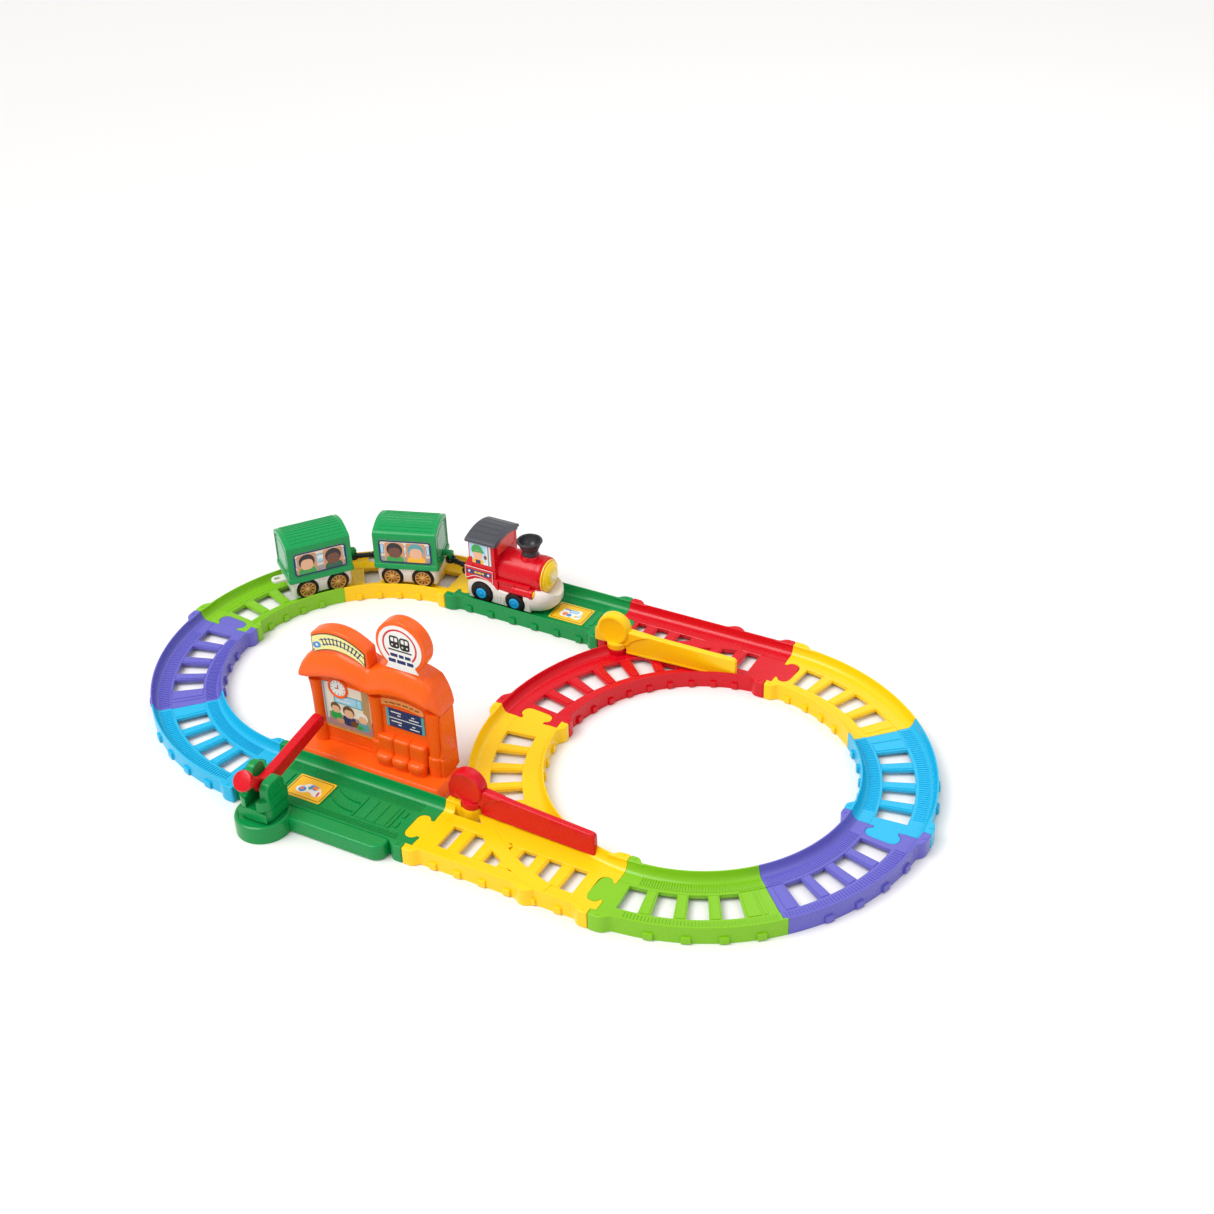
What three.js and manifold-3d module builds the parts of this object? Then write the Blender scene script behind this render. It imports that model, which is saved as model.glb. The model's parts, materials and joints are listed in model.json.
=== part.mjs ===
// Electric train set for young children: an oval track with an inner branch, a station with a lifting
// barrier, an engine and two carriages. Millimetres, +Z up. The track is drawn about the oval's centre, with the
// straights along X, and the whole set is then moved so that the origin is below the middle of its box.
import * as THREE from 'three';
import { mergeVertices } from 'three/addons/utils/BufferGeometryUtils.js';
import Module from 'manifold-3d';

const wasm = await Module();
wasm.setup();

// ---- driving dimensions ----
const RADIUS = 225; // centreline of every curve
const LENGTH = 230; // one straight piece, and half the length of the oval's straights
const HALF_WIDTH = 43.5; // centreline to the outer face of a wall
const WALL_TOP = 22;
const DECK_TOP = 10;
const DECK_BOTTOM = 5;
const DECK_HALF = 34.5; // flat deck, from the centreline to the foot of a wall
const WALL_INNER = 40.5; // centreline to the inner edge of a wall's top
const GAP = 0.4; // clearance between neighbouring pieces
const CURVE_STEPS = 6; // facets in 45 degrees of track
const ROUND = 16; // facets in a small round part

const PIVOT_X = 29; // lever pivot from the switch track's narrow end
const PIVOT_Y = 174; // lever pivot from the oval's long axis
const BAR_LENGTH = 161; // lever pivot to the tip of its bar
const BAR_HALF = 4; // half the thickness of a lever's bar
const LEVER_SWING = 25; // degrees
const BOSS_TOP = 18; // top of the lever's pivot boss
const BOSS_RADIUS = 12;
const PIN_RADIUS = 4; // lever's pin

const ENGINE_X = -158; // middle of the engine's wheelbase
const CARRIAGE_ANGLES = { carriage_2: 109, carriage_1: 142.5 }; // places round the left loop
const LINK_TURN = { carriage_2: -9.8, carriage_1: 35.1 }; // heading of the coupler link ahead of each carriage

const COLOUR = {
  lime: 0x7fbf1f, purple: 0x6a66be, cyan: 0x19b4da, yellow: 0xf5cb00, red: 0xe4111f, green: 0x0a9a48,
  orange: 0xf5661a, grey: 0x4a4b52, white: 0xede8e2, black: 0x1a1616, carriage: 0x10a050, label: 0xf2b90c,
  steel: 0xb8bcc0, brass: 0xc9a24a, board: 0x1f6b3a, cell: 0x3a6fb0,
};

// ---- solids ----
function solid(geometry) {
  const bare = geometry.index ? geometry.toNonIndexed() : geometry.clone();
  bare.deleteAttribute('normal');
  bare.deleteAttribute('uv');
  const merged = mergeVertices(bare, 1e-4);
  return new wasm.Manifold(new wasm.Mesh({
    numProp: 3,
    vertProperties: new Float32Array(merged.attributes.position.array),
    triVerts: new Uint32Array(merged.index.array),
  }));
}

function mesh(name, body, colour, roughness = 0.35, metalness = 0) {
  const data = body.getMesh();
  const geometry = new THREE.BufferGeometry();
  geometry.setAttribute('position', new THREE.BufferAttribute(data.vertProperties.slice(), 3));
  geometry.setIndex(new THREE.BufferAttribute(data.triVerts.slice(), 1));
  const result = new THREE.Mesh(geometry, new THREE.MeshStandardMaterial({ color: colour, roughness, metalness }));
  result.name = name;
  return result;
}

const sum = (...bodies) => bodies.reduce((a, b) => a.add(b));
const cut = (body, ...tools) => tools.reduce((a, b) => a.subtract(b), body);

// A plan outline in X and Y raised from one height to another.
function raise(shape, low, high, curveSegments = 6) {
  const geometry = new THREE.ExtrudeGeometry(shape, { depth: high - low, bevelEnabled: false, curveSegments });
  return solid(geometry.translate(0, 0, low));
}

// A side outline in X and Z, from one Y to another.
function sideways(shape, near, far, curveSegments = 6) {
  const geometry = new THREE.ExtrudeGeometry(shape, { depth: far - near, bevelEnabled: false, curveSegments });
  return solid(geometry.rotateX(Math.PI / 2).translate(0, far, 0));
}

// An end outline in Y and Z, from one X to another.
function lengthways(shape, back, front, curveSegments = 8) {
  const geometry = new THREE.ExtrudeGeometry(shape, { depth: front - back, bevelEnabled: false, curveSegments });
  return solid(geometry.rotateZ(Math.PI / 2).rotateY(Math.PI / 2).translate(back, 0, 0));
}

function outline(points) {
  return new THREE.Shape(points.map(([x, y]) => new THREE.Vector2(x, y)));
}

function box(x0, x1, y0, y1, z0, z1) {
  const geometry = new THREE.BoxGeometry(x1 - x0, y1 - y0, z1 - z0);
  return solid(geometry.translate((x0 + x1) / 2, (y0 + y1) / 2, (z0 + z1) / 2));
}

function disc(x, y, radius, low, high, sides = ROUND) {
  const geometry = new THREE.CylinderGeometry(radius, radius, high - low, sides);
  return solid(geometry.rotateX(Math.PI / 2).translate(x, y, (low + high) / 2));
}

function rodX(y, z, radius, back, front, sides = ROUND) {
  const geometry = new THREE.CylinderGeometry(radius, radius, front - back, sides);
  return solid(geometry.rotateZ(Math.PI / 2).translate((back + front) / 2, y, z));
}

function rodY(x, z, radius, near, far, sides = ROUND) {
  const geometry = new THREE.CylinderGeometry(radius, radius, far - near, sides);
  return solid(geometry.translate(x, (near + far) / 2, z));
}

// A profile of [radius, distance] points turned about the Y direction through x, z.
function turnedY(profile, x, z, sides = ROUND) {
  const points = profile.map(([r, d]) => new THREE.Vector2(r, d));
  return solid(new THREE.LatheGeometry(points, sides).translate(x, 0, z));
}

function turnedZ(profile, x, y, sides = ROUND) {
  const points = profile.map(([r, d]) => new THREE.Vector2(r, d));
  return solid(new THREE.LatheGeometry(points, sides).rotateX(Math.PI / 2).translate(x, y, 0));
}

// ---- paths: s runs from 0 to 1 along a piece, u is the offset from its centreline ----
const straight = (x0, x1, y) => (s, u) => [x0 + (x1 - x0) * s, y + u];
const arc = (cx, from, to) => (s, u) => {
  const angle = THREE.MathUtils.degToRad(to + (from - to) * s);
  return [cx + (RADIUS + u) * Math.cos(angle), (RADIUS + u) * Math.sin(angle)];
};
const part = (path, s0, s1) => (s, u) => path(s0 + (s1 - s0) * s, u);

// A cross-section of offset and height drawn along a path.
function along(section, path, steps) {
  const geometry = new THREE.ExtrudeGeometry(section, { depth: 1, steps, bevelEnabled: false });
  const place = geometry.attributes.position;
  for (let i = 0; i < place.count; i += 1) {
    const [x, y] = path(place.getZ(i), place.getX(i));
    place.setXYZ(i, x, y, place.getY(i));
  }
  return solid(geometry);
}

// ---- track ----
const mirrored = (half) => outline([...half, ...half.map(([u, h]) => [-u, h]).reverse()]);
const CHANNEL = mirrored([
  [40, DECK_BOTTOM], [40, 0], [HALF_WIDTH, 0], [HALF_WIDTH, WALL_TOP], [WALL_INNER, WALL_TOP],
  [DECK_HALF, DECK_TOP],
]);
const AIR = mirrored([[DECK_HALF, DECK_TOP], [WALL_INNER, WALL_TOP], [WALL_INNER, 2 * WALL_TOP]]);
const WINDOW_HALF = 20; // half the width of the openings between sleepers
const WINDOW = mirrored([[WINDOW_HALF, 0], [WINDOW_HALF, DECK_TOP + 5]]);
const CURVE_WINDOW = { opening: 22, sleeper: 13 };
const ROAD_WINDOW = { opening: 20, sleeper: 12 };
const TONGUE_LENGTH = 20;

// A jigsaw tongue that points along +X from a joint, grown by a clearance all round.
function tongueOutline(clear) {
  const neck = 15 + clear;
  const head = 20 + clear;
  const tip = TONGUE_LENGTH + clear;
  const shape = new THREE.Shape();
  shape.moveTo(-3, -neck);
  shape.lineTo(4 - clear, -neck);
  shape.quadraticCurveTo(6 - clear, -head, 11, -head);
  shape.quadraticCurveTo(tip, -head, tip, -head / 2);
  shape.lineTo(tip, head / 2);
  shape.quadraticCurveTo(tip, head, 11, head);
  shape.quadraticCurveTo(6 - clear, head, 4 - clear, neck);
  shape.lineTo(-3, neck);
  return shape;
}

function placed(body, x, y, heading) {
  return body.rotate([0, 0, heading]).translate([x, y, 0]);
}

const EAR_REACH = 51; // from the centreline to the outside of an ear
const EAR_LENGTH = 21;

// Walls swell outwards beside a jigsaw joint. The piece lies behind the joint.
function ears(x, y, heading, sides = [1, -1]) {
  const foot = HALF_WIDTH - 2.5;
  const swell = [
    [-GAP / 2, foot], [-GAP / 2, EAR_REACH], [-8, EAR_REACH], [-EAR_LENGTH, HALF_WIDTH - 0.5], [-EAR_LENGTH, foot],
  ];
  const ear = (side) => outline(swell.map(([back, out]) => [back, side * out]));
  return placed(sum(...sides.map((side) => raise(ear(side), 0, WALL_TOP))), x, y, heading);
}

// heading is the way out of the piece at that end.
const tongue = (x, y, heading) => placed(raise(tongueOutline(0), DECK_BOTTOM, DECK_TOP, 3), x, y, heading);
const socket = (x, y, heading) => placed(
  raise(tongueOutline(GAP), DECK_BOTTOM - 1, DECK_TOP + 1, 3), x, y, heading + 180,
);

// Openings between sleepers: first starts at a distance from the start of the path.
function windows(path, pathLength, first, count, { opening, sleeper }) {
  return Array.from({ length: count }, (_, i) => {
    const start = (first + i * (opening + sleeper)) / pathLength;
    return along(WINDOW, part(path, start, start + opening / pathLength), 1);
  });
}

// A 45 degree curve. Counter-clockwise it starts with a tongue and ends plain, or starts plain and ends with a
// socket.
function curve(cx, from, startsWithTongue) {
  const to = from + 45;
  const trim = THREE.MathUtils.radToDeg(GAP / 2 / RADIUS);
  const path = arc(cx, from + trim, to - trim);
  const pathLength = THREE.MathUtils.degToRad(45) * RADIUS;
  const jointAngle = startsWithTongue ? from : to;
  const heading = startsWithTongue ? from - 90 : to + 90;
  const angle = THREE.MathUtils.degToRad(jointAngle);
  const x = cx + RADIUS * Math.cos(angle);
  const y = RADIUS * Math.sin(angle);
  const body = sum(along(CHANNEL, path, CURVE_STEPS), ears(x, y, heading));
  // The path runs clockwise, from the higher angle.
  const holes = windows(path, pathLength, startsWithTongue ? 34 : 28, 4, CURVE_WINDOW);
  if (startsWithTongue) {
    return cut(sum(body, tongue(x, y, heading)), ...holes);
  }
  return cut(body, socket(x, y, heading), ...holes);
}

function straightTrack() {
  const body = sum(
    along(CHANNEL, straight(-LENGTH + GAP / 2, -GAP / 2, RADIUS), 1),
    ears(-LENGTH, RADIUS, 180),
    ears(0, RADIUS, 0),
    tongue(0, RADIUS, 0),
  );
  return cut(body, socket(-LENGTH, RADIUS, 180));
}

// Plan of the space that a lever's low bar sweeps, drawn about its pivot.
function sweptOutline() {
  const clear = BAR_HALF + 1;
  const start = THREE.MathUtils.degToRad(-1);
  const end = THREE.MathUtils.degToRad(LEVER_SWING + 1);
  const beside = (reach, angle, side) => [
    reach * Math.cos(angle) - side * clear * Math.sin(angle),
    reach * Math.sin(angle) + side * clear * Math.cos(angle),
  ];
  const reach = BAR_LENGTH + 2;
  const shape = outline([beside(4, start, -1), beside(reach, start, -1), beside(reach, start, 1)]);
  shape.absarc(0, 0, reach + 1, start + clear / reach, end - clear / reach);
  for (const [distance, side] of [[reach, -1], [reach, 1], [4, 1]]) {
    shape.lineTo(...beside(distance, end, side));
  }
  return shape;
}

// Straight road, 90 degree branch and lever boss, drawn for the back of the oval.
function switchBody(branchHasTongue) {
  const road = straight(GAP / 2, LENGTH - GAP / 2, RADIUS);
  const trim = THREE.MathUtils.radToDeg(GAP / 2 / RADIUS);
  const branch = arc(LENGTH, 90 + trim / 2, 180 - trim);
  const branchLength = THREE.MathUtils.degToRad(90) * RADIUS;
  const branchEnd = LENGTH - RADIUS;
  let body = sum(along(CHANNEL, road, 1), along(CHANNEL, branch, 2 * CURVE_STEPS));
  body = cut(body, along(AIR, part(road, -0.01, 1.01), 1), along(AIR, part(branch, -0.005, 1.01), 2 * CURVE_STEPS));
  body = sum(body, disc(PIVOT_X, PIVOT_Y, BOSS_RADIUS, 0, BOSS_TOP), ears(LENGTH, RADIUS, 0), ears(0, RADIUS, 180));
  body = sum(body, ears(branchEnd, 0, -90));
  const swept = placed(raise(sweptOutline(), DECK_TOP, 40, 4), PIVOT_X, PIVOT_Y, 3);
  body = cut(body, swept, disc(PIVOT_X, PIVOT_Y, PIN_RADIUS + GAP, BOSS_TOP - 8, 40, 12));
  body = cut(body, disc(PIVOT_X, PIVOT_Y, BOSS_RADIUS + 1, BOSS_TOP, 40));
  body = cut(body, ...windows(road, LENGTH, 128, 3, ROAD_WINDOW));
  // The branch path runs clockwise from its far end.
  body = cut(body, ...windows(branch, branchLength, 28, 6, CURVE_WINDOW));
  return branchHasTongue
    ? sum(body, tongue(branchEnd, 0, -90))
    : cut(body, socket(branchEnd, 0, -90));
}

function redSwitch() {
  const body = sum(switchBody(false), tongue(LENGTH, RADIUS, 0));
  return cut(body, socket(0, RADIUS, 180));
}

function yellowSwitch() {
  const body = sum(switchBody(true), tongue(0, RADIUS, 180));
  return cut(body, socket(LENGTH, RADIUS, 0)).mirror([0, 1, 0]);
}

// ---- station track, barrier and building ----
const BASE_X = -174; // barrier base
const BASE_Y = -292;
const BASE_RADIUS = 32;
const BASE_TOP = 22;
const LEDGE = { left: -146, right: -21, front: -287, top: 20 };
const PIN_Y = -286;
const PIN_Z = 56;
const PIN_X = -173;
const TOWER_HALF = 21;
const SLOT_HALF = 8;

function stationTrack() {
  const y = -RADIUS;
  const front = y - HALF_WIDTH + 1;
  const ledge = new THREE.Shape();
  ledge.moveTo(LEDGE.left, front);
  ledge.lineTo(LEDGE.left, LEDGE.front);
  ledge.lineTo(LEDGE.right - 12, LEDGE.front);
  ledge.quadraticCurveTo(LEDGE.right, LEDGE.front, LEDGE.right, front);
  const web = box(BASE_X - 24, BASE_X + 24, BASE_Y, front, 0, BASE_TOP);
  const body = sum(
    along(CHANNEL, straight(-LENGTH + GAP / 2, -GAP / 2, y), 1),
    ears(-LENGTH, y, 180, [1]),
    ears(0, y, 0, [-1]),
    tongue(-LENGTH, y, 180),
    raise(ledge, 0, LEDGE.top, 4),
    disc(BASE_X, BASE_Y, BASE_RADIUS, 0, BASE_TOP, 28),
    web,
  );
  return cut(body, socket(0, y, 0));
}

function barrierTower() {
  const x0 = BASE_X + 1 - TOWER_HALF;
  const x1 = BASE_X + 1 + TOWER_HALF;
  const plan = new THREE.Shape();
  plan.moveTo(x0, -270);
  plan.lineTo(x0, -300);
  plan.quadraticCurveTo(x0, -311, x0 + 12, -311);
  plan.lineTo(x1 - 12, -311);
  plan.quadraticCurveTo(x1, -311, x1, -300);
  plan.lineTo(x1, -270);
  const column = raise(plan, BASE_TOP + 0.3, 50, 4);
  const cheek = new THREE.Shape(); // right-hand ear seen from the side
  cheek.moveTo(-306, 48);
  cheek.quadraticCurveTo(-304, 70, -290, 70);
  cheek.quadraticCurveTo(-272, 70, -270, 48);
  const guard = new THREE.Shape(); // taller rounded plate on the left
  guard.moveTo(-296, 48);
  guard.quadraticCurveTo(-294, 78, -280, 78);
  guard.quadraticCurveTo(-266, 78, -264, 48);
  const body = sum(
    column,
    lengthways(cheek, PIN_X + SLOT_HALF, x1, 4),
    lengthways(guard, x0, PIN_X - SLOT_HALF, 4),
  );
  const slot = box(PIN_X - SLOT_HALF, PIN_X + SLOT_HALF, -320, -260, 38, 90);
  return cut(body, slot, rodX(PIN_Y, PIN_Z, 2.4, PIN_X - 14, PIN_X + 14, 12));
}

function barrierArm() {
  const half = SLOT_HALF - 2;
  const side = outline([
    [PIN_Y - 6, PIN_Z - 8], [PIN_Y + 8, PIN_Z - 9], [PIN_Y + 112, PIN_Z + 9], [PIN_Y + 114, PIN_Z + 18],
    [PIN_Y + 110, PIN_Z + 24], [PIN_Y + 4, PIN_Z + 8], [PIN_Y - 24, PIN_Z + 29], [PIN_Y - 30, PIN_Z + 21],
  ]);
  const bar = lengthways(side, PIN_X - half, PIN_X + half);
  const pad = solid(new THREE.CylinderGeometry(12, 12, 7, 20).rotateX(THREE.MathUtils.degToRad(-40))
    .translate(PIN_X, PIN_Y - 29, PIN_Z + 26));
  return cut(sum(bar, pad), rodX(PIN_Y, PIN_Z, 2.3, PIN_X - 14, PIN_X + 14, 12));
}

const FACADE = -150; // front plane of the building
const FLOOR = 22; // top of the station's base

function stationBase() {
  const end = outline([[-181.1, 0], [-181.1, 15], [-176, FLOOR], [-130, FLOOR], [-125, 15], [-125, 0]]);
  return lengthways(end, -212, -12);
}

// Building outline seen from the front: two bays under a wavy roof, an arched sign board and a disc sign.
function facadeOutline() {
  const shape = new THREE.Shape();
  shape.moveTo(-200, FLOOR + 0.3);
  shape.lineTo(-199, 108);
  shape.lineTo(-209, 112);
  shape.quadraticCurveTo(-208, 132, -190, 148);
  shape.lineTo(-191, 170);
  shape.quadraticCurveTo(-152, 192, -113, 164);
  shape.lineTo(-111, 148);
  shape.lineTo(-88, 157);
  shape.quadraticCurveTo(-104, 176, -97, 196);
  shape.quadraticCurveTo(-86, 220, -62, 218);
  shape.quadraticCurveTo(-36, 214, -33, 188);
  shape.quadraticCurveTo(-32, 172, -42, 160);
  shape.lineTo(-40, 150);
  shape.quadraticCurveTo(-24, 140, -20, 112);
  shape.lineTo(-25, 106);
  shape.lineTo(-22, FLOOR + 0.3);
  return shape;
}

// The building without its two sign boards.
function wallOutline() {
  const shape = new THREE.Shape();
  shape.moveTo(-200, FLOOR + 0.3);
  shape.lineTo(-199, 108);
  shape.lineTo(-209, 112);
  shape.quadraticCurveTo(-208, 132, -190, 147);
  shape.quadraticCurveTo(-152, 160, -111, 147);
  shape.quadraticCurveTo(-66, 166, -40, 150);
  shape.quadraticCurveTo(-24, 140, -20, 112);
  shape.lineTo(-25, 106);
  shape.lineTo(-22, FLOOR + 0.3);
  return shape;
}

function canopyOutline() {
  const shape = new THREE.Shape();
  shape.moveTo(-212, 108);
  shape.quadraticCurveTo(-212, 128, -192, 146);
  shape.quadraticCurveTo(-152, 166, -111, 146);
  shape.quadraticCurveTo(-66, 172, -34, 146);
  shape.quadraticCurveTo(-22, 132, -20, 106);
  shape.quadraticCurveTo(-60, 128, -110, 108);
  shape.quadraticCurveTo(-160, 132, -204, 106);
  return shape;
}

function stationFront() {
  const shell = sideways(wallOutline(), FACADE, -124);
  const boards = sideways(facadeOutline(), FACADE, -134);
  const pillar = (x0, x1) => box(x0, x1, FACADE - 5, FACADE + 1, FLOOR + 0.3, 116);
  const bench = sideways(outline([[-104, FLOOR + 0.3], [-104, 34], [-40, 34], [-40, FLOOR + 0.3]]), -166, FACADE + 1);
  const seatBack = box(-100, -44, FACADE - 6, FACADE + 1, 30, 58);
  const body = sum(
    shell, boards, sideways(canopyOutline(), FACADE - 11, FACADE + 1), bench, seatBack,
    pillar(-200, -184), pillar(-117, -100), pillar(-40, -23),
  );
  return cut(
    body,
    box(-192, -118, FACADE + 4, -120, FLOOR + 4, 134),
    box(-104, -28, FACADE + 4, -120, FLOOR + 4, 132),
  );
}

function stationBack() {
  return sideways(wallOutline(), -123.6, -120.6);
}

function panel(shape, front, thick = 0.8) {
  return sideways(shape, front - 0.3 - thick, front - 0.3);
}

function roundOutline(x, z, radius) {
  const shape = new THREE.Shape();
  shape.absarc(x, z, radius, 0, 2 * Math.PI);
  return shape;
}

function signOutline() {
  const shape = new THREE.Shape();
  shape.moveTo(-188, 149);
  shape.quadraticCurveTo(-152, 168, -116, 149);
  shape.lineTo(-117, 161);
  shape.quadraticCurveTo(-152, 181, -187, 165);
  return shape;
}

// ---- engine: drawn about the middle of its wheelbase, nose towards +X ----
const REAR_X = -25;
const FRONT_X = 25;
const REAR_WHEEL = 15.5;
const FRONT_WHEEL = 13.5;
const WHEEL_IN = 24;
const WHEEL_OUT = 33;
const RIDE = 0.3; // wheels clear the deck by this much
const REAR_Z = DECK_TOP + RIDE + REAR_WHEEL;
const FRONT_Z = DECK_TOP + RIDE + FRONT_WHEEL;
const BOILER_Z = 58;
const BOILER_RADIUS = 25;
const LENS_RADIUS = 22;
const CAB_ARC = { radius: 66.1, z: 41.1 }; // the cab's curved top
const MOTOR_Z = 38.3;
const GEAR = { y0: 14, y1: 18, module: 0.9, teeth: 18, pinion: 9 };

function chassisSide(clear) {
  const shape = new THREE.Shape();
  shape.moveTo(-45 - clear, 16);
  shape.lineTo(-47 - clear, 34);
  shape.quadraticCurveTo(-45 - clear, 45 + clear, -25, 46 + clear);
  shape.quadraticCurveTo(-6 + clear, 45 + clear, -3, 36 + clear);
  shape.lineTo(46, 32 + clear);
  shape.quadraticCurveTo(60, 34 + clear, 68, 46 + clear);
  shape.quadraticCurveTo(76 + clear, 42, 74 + clear, 26);
  shape.lineTo(66, 13.5);
  shape.lineTo(-40, 13.5);
  return shape;
}

function noseOutline(half) {
  const shape = new THREE.Shape();
  shape.moveTo(-48, -half);
  shape.lineTo(46, -half);
  shape.quadraticCurveTo(78, -half, 78, 0);
  shape.quadraticCurveTo(78, half, 46, half);
  shape.lineTo(-48, half);
  return shape;
}

function chassisOuter(clear) {
  const half = 30 + clear;
  return sideways(chassisSide(clear), -half, half, 4).intersect(raise(noseOutline(half), 0, 80, 5));
}

function wheelWells() {
  const wells = [];
  for (const side of [1, -1]) {
    const a = side > 0 ? WHEEL_IN - 0.8 : -40;
    const b = side > 0 ? 40 : -WHEEL_IN + 0.8;
    wells.push(rodY(REAR_X, REAR_Z, REAR_WHEEL + 1.5, a, b), rodY(FRONT_X, FRONT_Z, FRONT_WHEEL + 1.3, a, b));
  }
  return wells;
}

function engineChassis() {
  return cut(
    chassisOuter(0),
    box(-42, 42, -20.5, 20.5, 16, 60), // inside
    box(-22, 22, -17.5, 17.5, 10, 18), // battery door opening
    box(32, 42, -4, 4, 10, 18), // switch slot
    rodY(REAR_X, REAR_Z, 1.8, -31, 31, 12),
    rodY(FRONT_X, FRONT_Z, 1.8, -31, 31, 12),
    rodX(0, BOILER_Z, LENS_RADIUS + 0.8, 50, 69, 24), // room for the front button
    ...wheelWells(),
  );
}

function cabEnd(half, arcRadius, low) {
  const top = Math.acos(half / arcRadius);
  const shape = new THREE.Shape();
  shape.moveTo(-half, low);
  shape.lineTo(half, low);
  shape.absarc(0, CAB_ARC.z, arcRadius, top, Math.PI - top);
  return shape;
}

function engineBody() {
  const cab = lengthways(cabEnd(29, CAB_ARC.radius, 34), -42.5, -3);
  const skirtSide = outline([
    [-50.5, 41], [-50.5, 60], [-46.5, 69], [-41.5, 76], [-3, 76], [-3, 34], [-46, 34],
  ]);
  const skirt = sideways(skirtSide, -29.5, 29.5);
  const boiler = rodX(0, BOILER_Z, BOILER_RADIUS, -6, 60, 24);
  const tank = box(-5, 46, -27, 27, 30, 50);
  const cylinders = [1, -1].map((side) => rodX(side * 26, 41, 6, 24, 53, 12));
  const saddle = disc(34, 0, 12, 70, 84.5);
  return cut(
    sum(cab, skirt, boiler, tank, ...cylinders, saddle),
    chassisOuter(GAP),
    ...wheelWells(),
    lengthways(cabEnd(26, CAB_ARC.radius - 2.6, 30), -41, -8), // cab room
    rodX(0, BOILER_Z, BOILER_RADIUS - 2.5, -9, 70, 24), // boiler tube, open in front
    box(-10, 43, -20, 20, 28, 60),
    disc(34, 0, 3.3, 70, 90, 12), // funnel spigot hole
  );
}

function cabRoof() {
  const inner = CAB_ARC.radius + GAP;
  const outer = inner + 4.5;
  const half = 31.5;
  const eave = CAB_ARC.z + Math.sqrt(inner * inner - 30 * 30);
  const shape = new THREE.Shape();
  const a = Math.acos(half / outer);
  const b = Math.acos(30 / inner);
  shape.moveTo(half, eave - 1);
  shape.absarc(0, CAB_ARC.z, outer, a, Math.PI - a);
  shape.lineTo(-half, eave - 1);
  shape.lineTo(-30, eave - 1);
  shape.absarc(0, CAB_ARC.z, inner, Math.PI - b, b, true);
  shape.lineTo(30, eave - 1);
  return lengthways(shape, -45.5, 0.5);
}

function funnel() {
  const profile = [
    [0, 84.9], [10.5, 84.9], [10.5, 87], [8.6, 89.4], [9, 91.4], [15.4, 102], [16.2, 105.6], [13.8, 106],
    [12.8, 102.6], [6.5, 94.5], [0, 93.6],
  ];
  const spigot = disc(34, 0, 3, 74, 86, 12);
  return sum(turnedZ(profile, 34, 0), spigot);
}

function faceButton() {
  const profile = [[0, 0], [LENS_RADIUS, 0], [LENS_RADIUS, 4], [18, 8], [9, 10.5], [0, 11.5]];
  const lens = turnedY(profile, 0, 0, 24).rotate([0, 0, -90]).translate([56, 0, BOILER_Z]);
  return cut(lens, rodX(0, BOILER_Z, 5, 50, 61, 12));
}

function engineWheel(x, z, radius, side) {
  const profile = [
    [1.8, WHEEL_IN], [radius - 1, WHEEL_IN], [radius, WHEEL_IN + 1.5], [radius, WHEEL_OUT - 2],
    [radius - 2, WHEEL_OUT], [7.5, WHEEL_OUT - 0.6], [6.6, WHEEL_OUT + 0.6], [0, WHEEL_OUT + 1],
    [0, WHEEL_IN + 5], [1.8, WHEEL_IN + 5],
  ];
  const wheel = turnedY([...profile, profile[0]], x, z);
  return side > 0 ? wheel : wheel.mirror([0, 1, 0]);
}

function axle(x, z) {
  return rodY(x, z, 1.5, -WHEEL_IN - 4.5, WHEEL_IN + 4.5, 12);
}

// Spur gear on a Y axis, with straight flanks and a bore.
function gear(teeth, x, z, bore, phase) {
  const pitch = (teeth * GEAR.module) / 2;
  const points = [];
  for (let i = 0; i < teeth; i += 1) {
    for (const [turn, radius] of [[-0.34, -1.1], [-0.14, 0.8], [0.14, 0.8], [0.34, -1.1]]) {
      const angle = ((i + turn + phase) / teeth) * 2 * Math.PI;
      const r = pitch + radius * GEAR.module;
      points.push([x + r * Math.cos(angle), z + r * Math.sin(angle)]);
    }
  }
  return cut(sideways(outline(points), GEAR.y0, GEAR.y1), rodY(x, z, bore, GEAR.y0 - 1, GEAR.y1 + 1, 12));
}

function motorPinion() {
  return sum(gear(GEAR.pinion, REAR_X, MOTOR_Z, 1, 0.25), rodY(REAR_X, MOTOR_Z, 1.4, 12.4, 19, 12));
}

function motor() {
  return sum(rodY(REAR_X, MOTOR_Z, 7, -12, 11), rodY(REAR_X, MOTOR_Z, 3, -13.5, 12, 12));
}

function battery(y) {
  return sum(rodX(y, 22.2, 5.1, -21.8, 20.8, 14), rodX(y, 22.2, 2, 20, 21.9, 8));
}

function batteryDoor() {
  const plate = box(-21.6, 21.6, -17.1, 17.1, 13.5, 15.5);
  return cut(plate, disc(0, -14.4, 2.4, 12, 17, 12));
}

function doorScrew() {
  return sum(disc(0, -14.4, 2.1, 13.6, 15, 10), disc(0, -14.4, 1.3, 14, 22, 10));
}

function circuitBoard() {
  const board = box(-4, 40, -15, 15, 50, 51.6);
  return sum(board, box(4, 12, -5, 3, 51, 53.5), box(20, 27, -9, 4, 51, 53));
}

function powerSwitch() {
  return sum(box(34.2, 39.8, -5.5, 5.5, 16.3, 18.3), box(35.5, 38.5, -2.5, 2.5, 12.9, 17));
}

function engineHitch() {
  const shape = new THREE.Shape();
  shape.moveTo(-48.4, -7);
  shape.lineTo(-66, -7);
  shape.absarc(-66, 0, 7, -Math.PI / 2, Math.PI / 2, true);
  shape.lineTo(-48.4, 7);
  const hole = new THREE.Path();
  hole.absarc(-66, 0, 3.4, 0, 2 * Math.PI);
  shape.holes.push(hole);
  return raise(shape, HITCH_LOW, HITCH_LOW + 3.5, 5);
}

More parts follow.
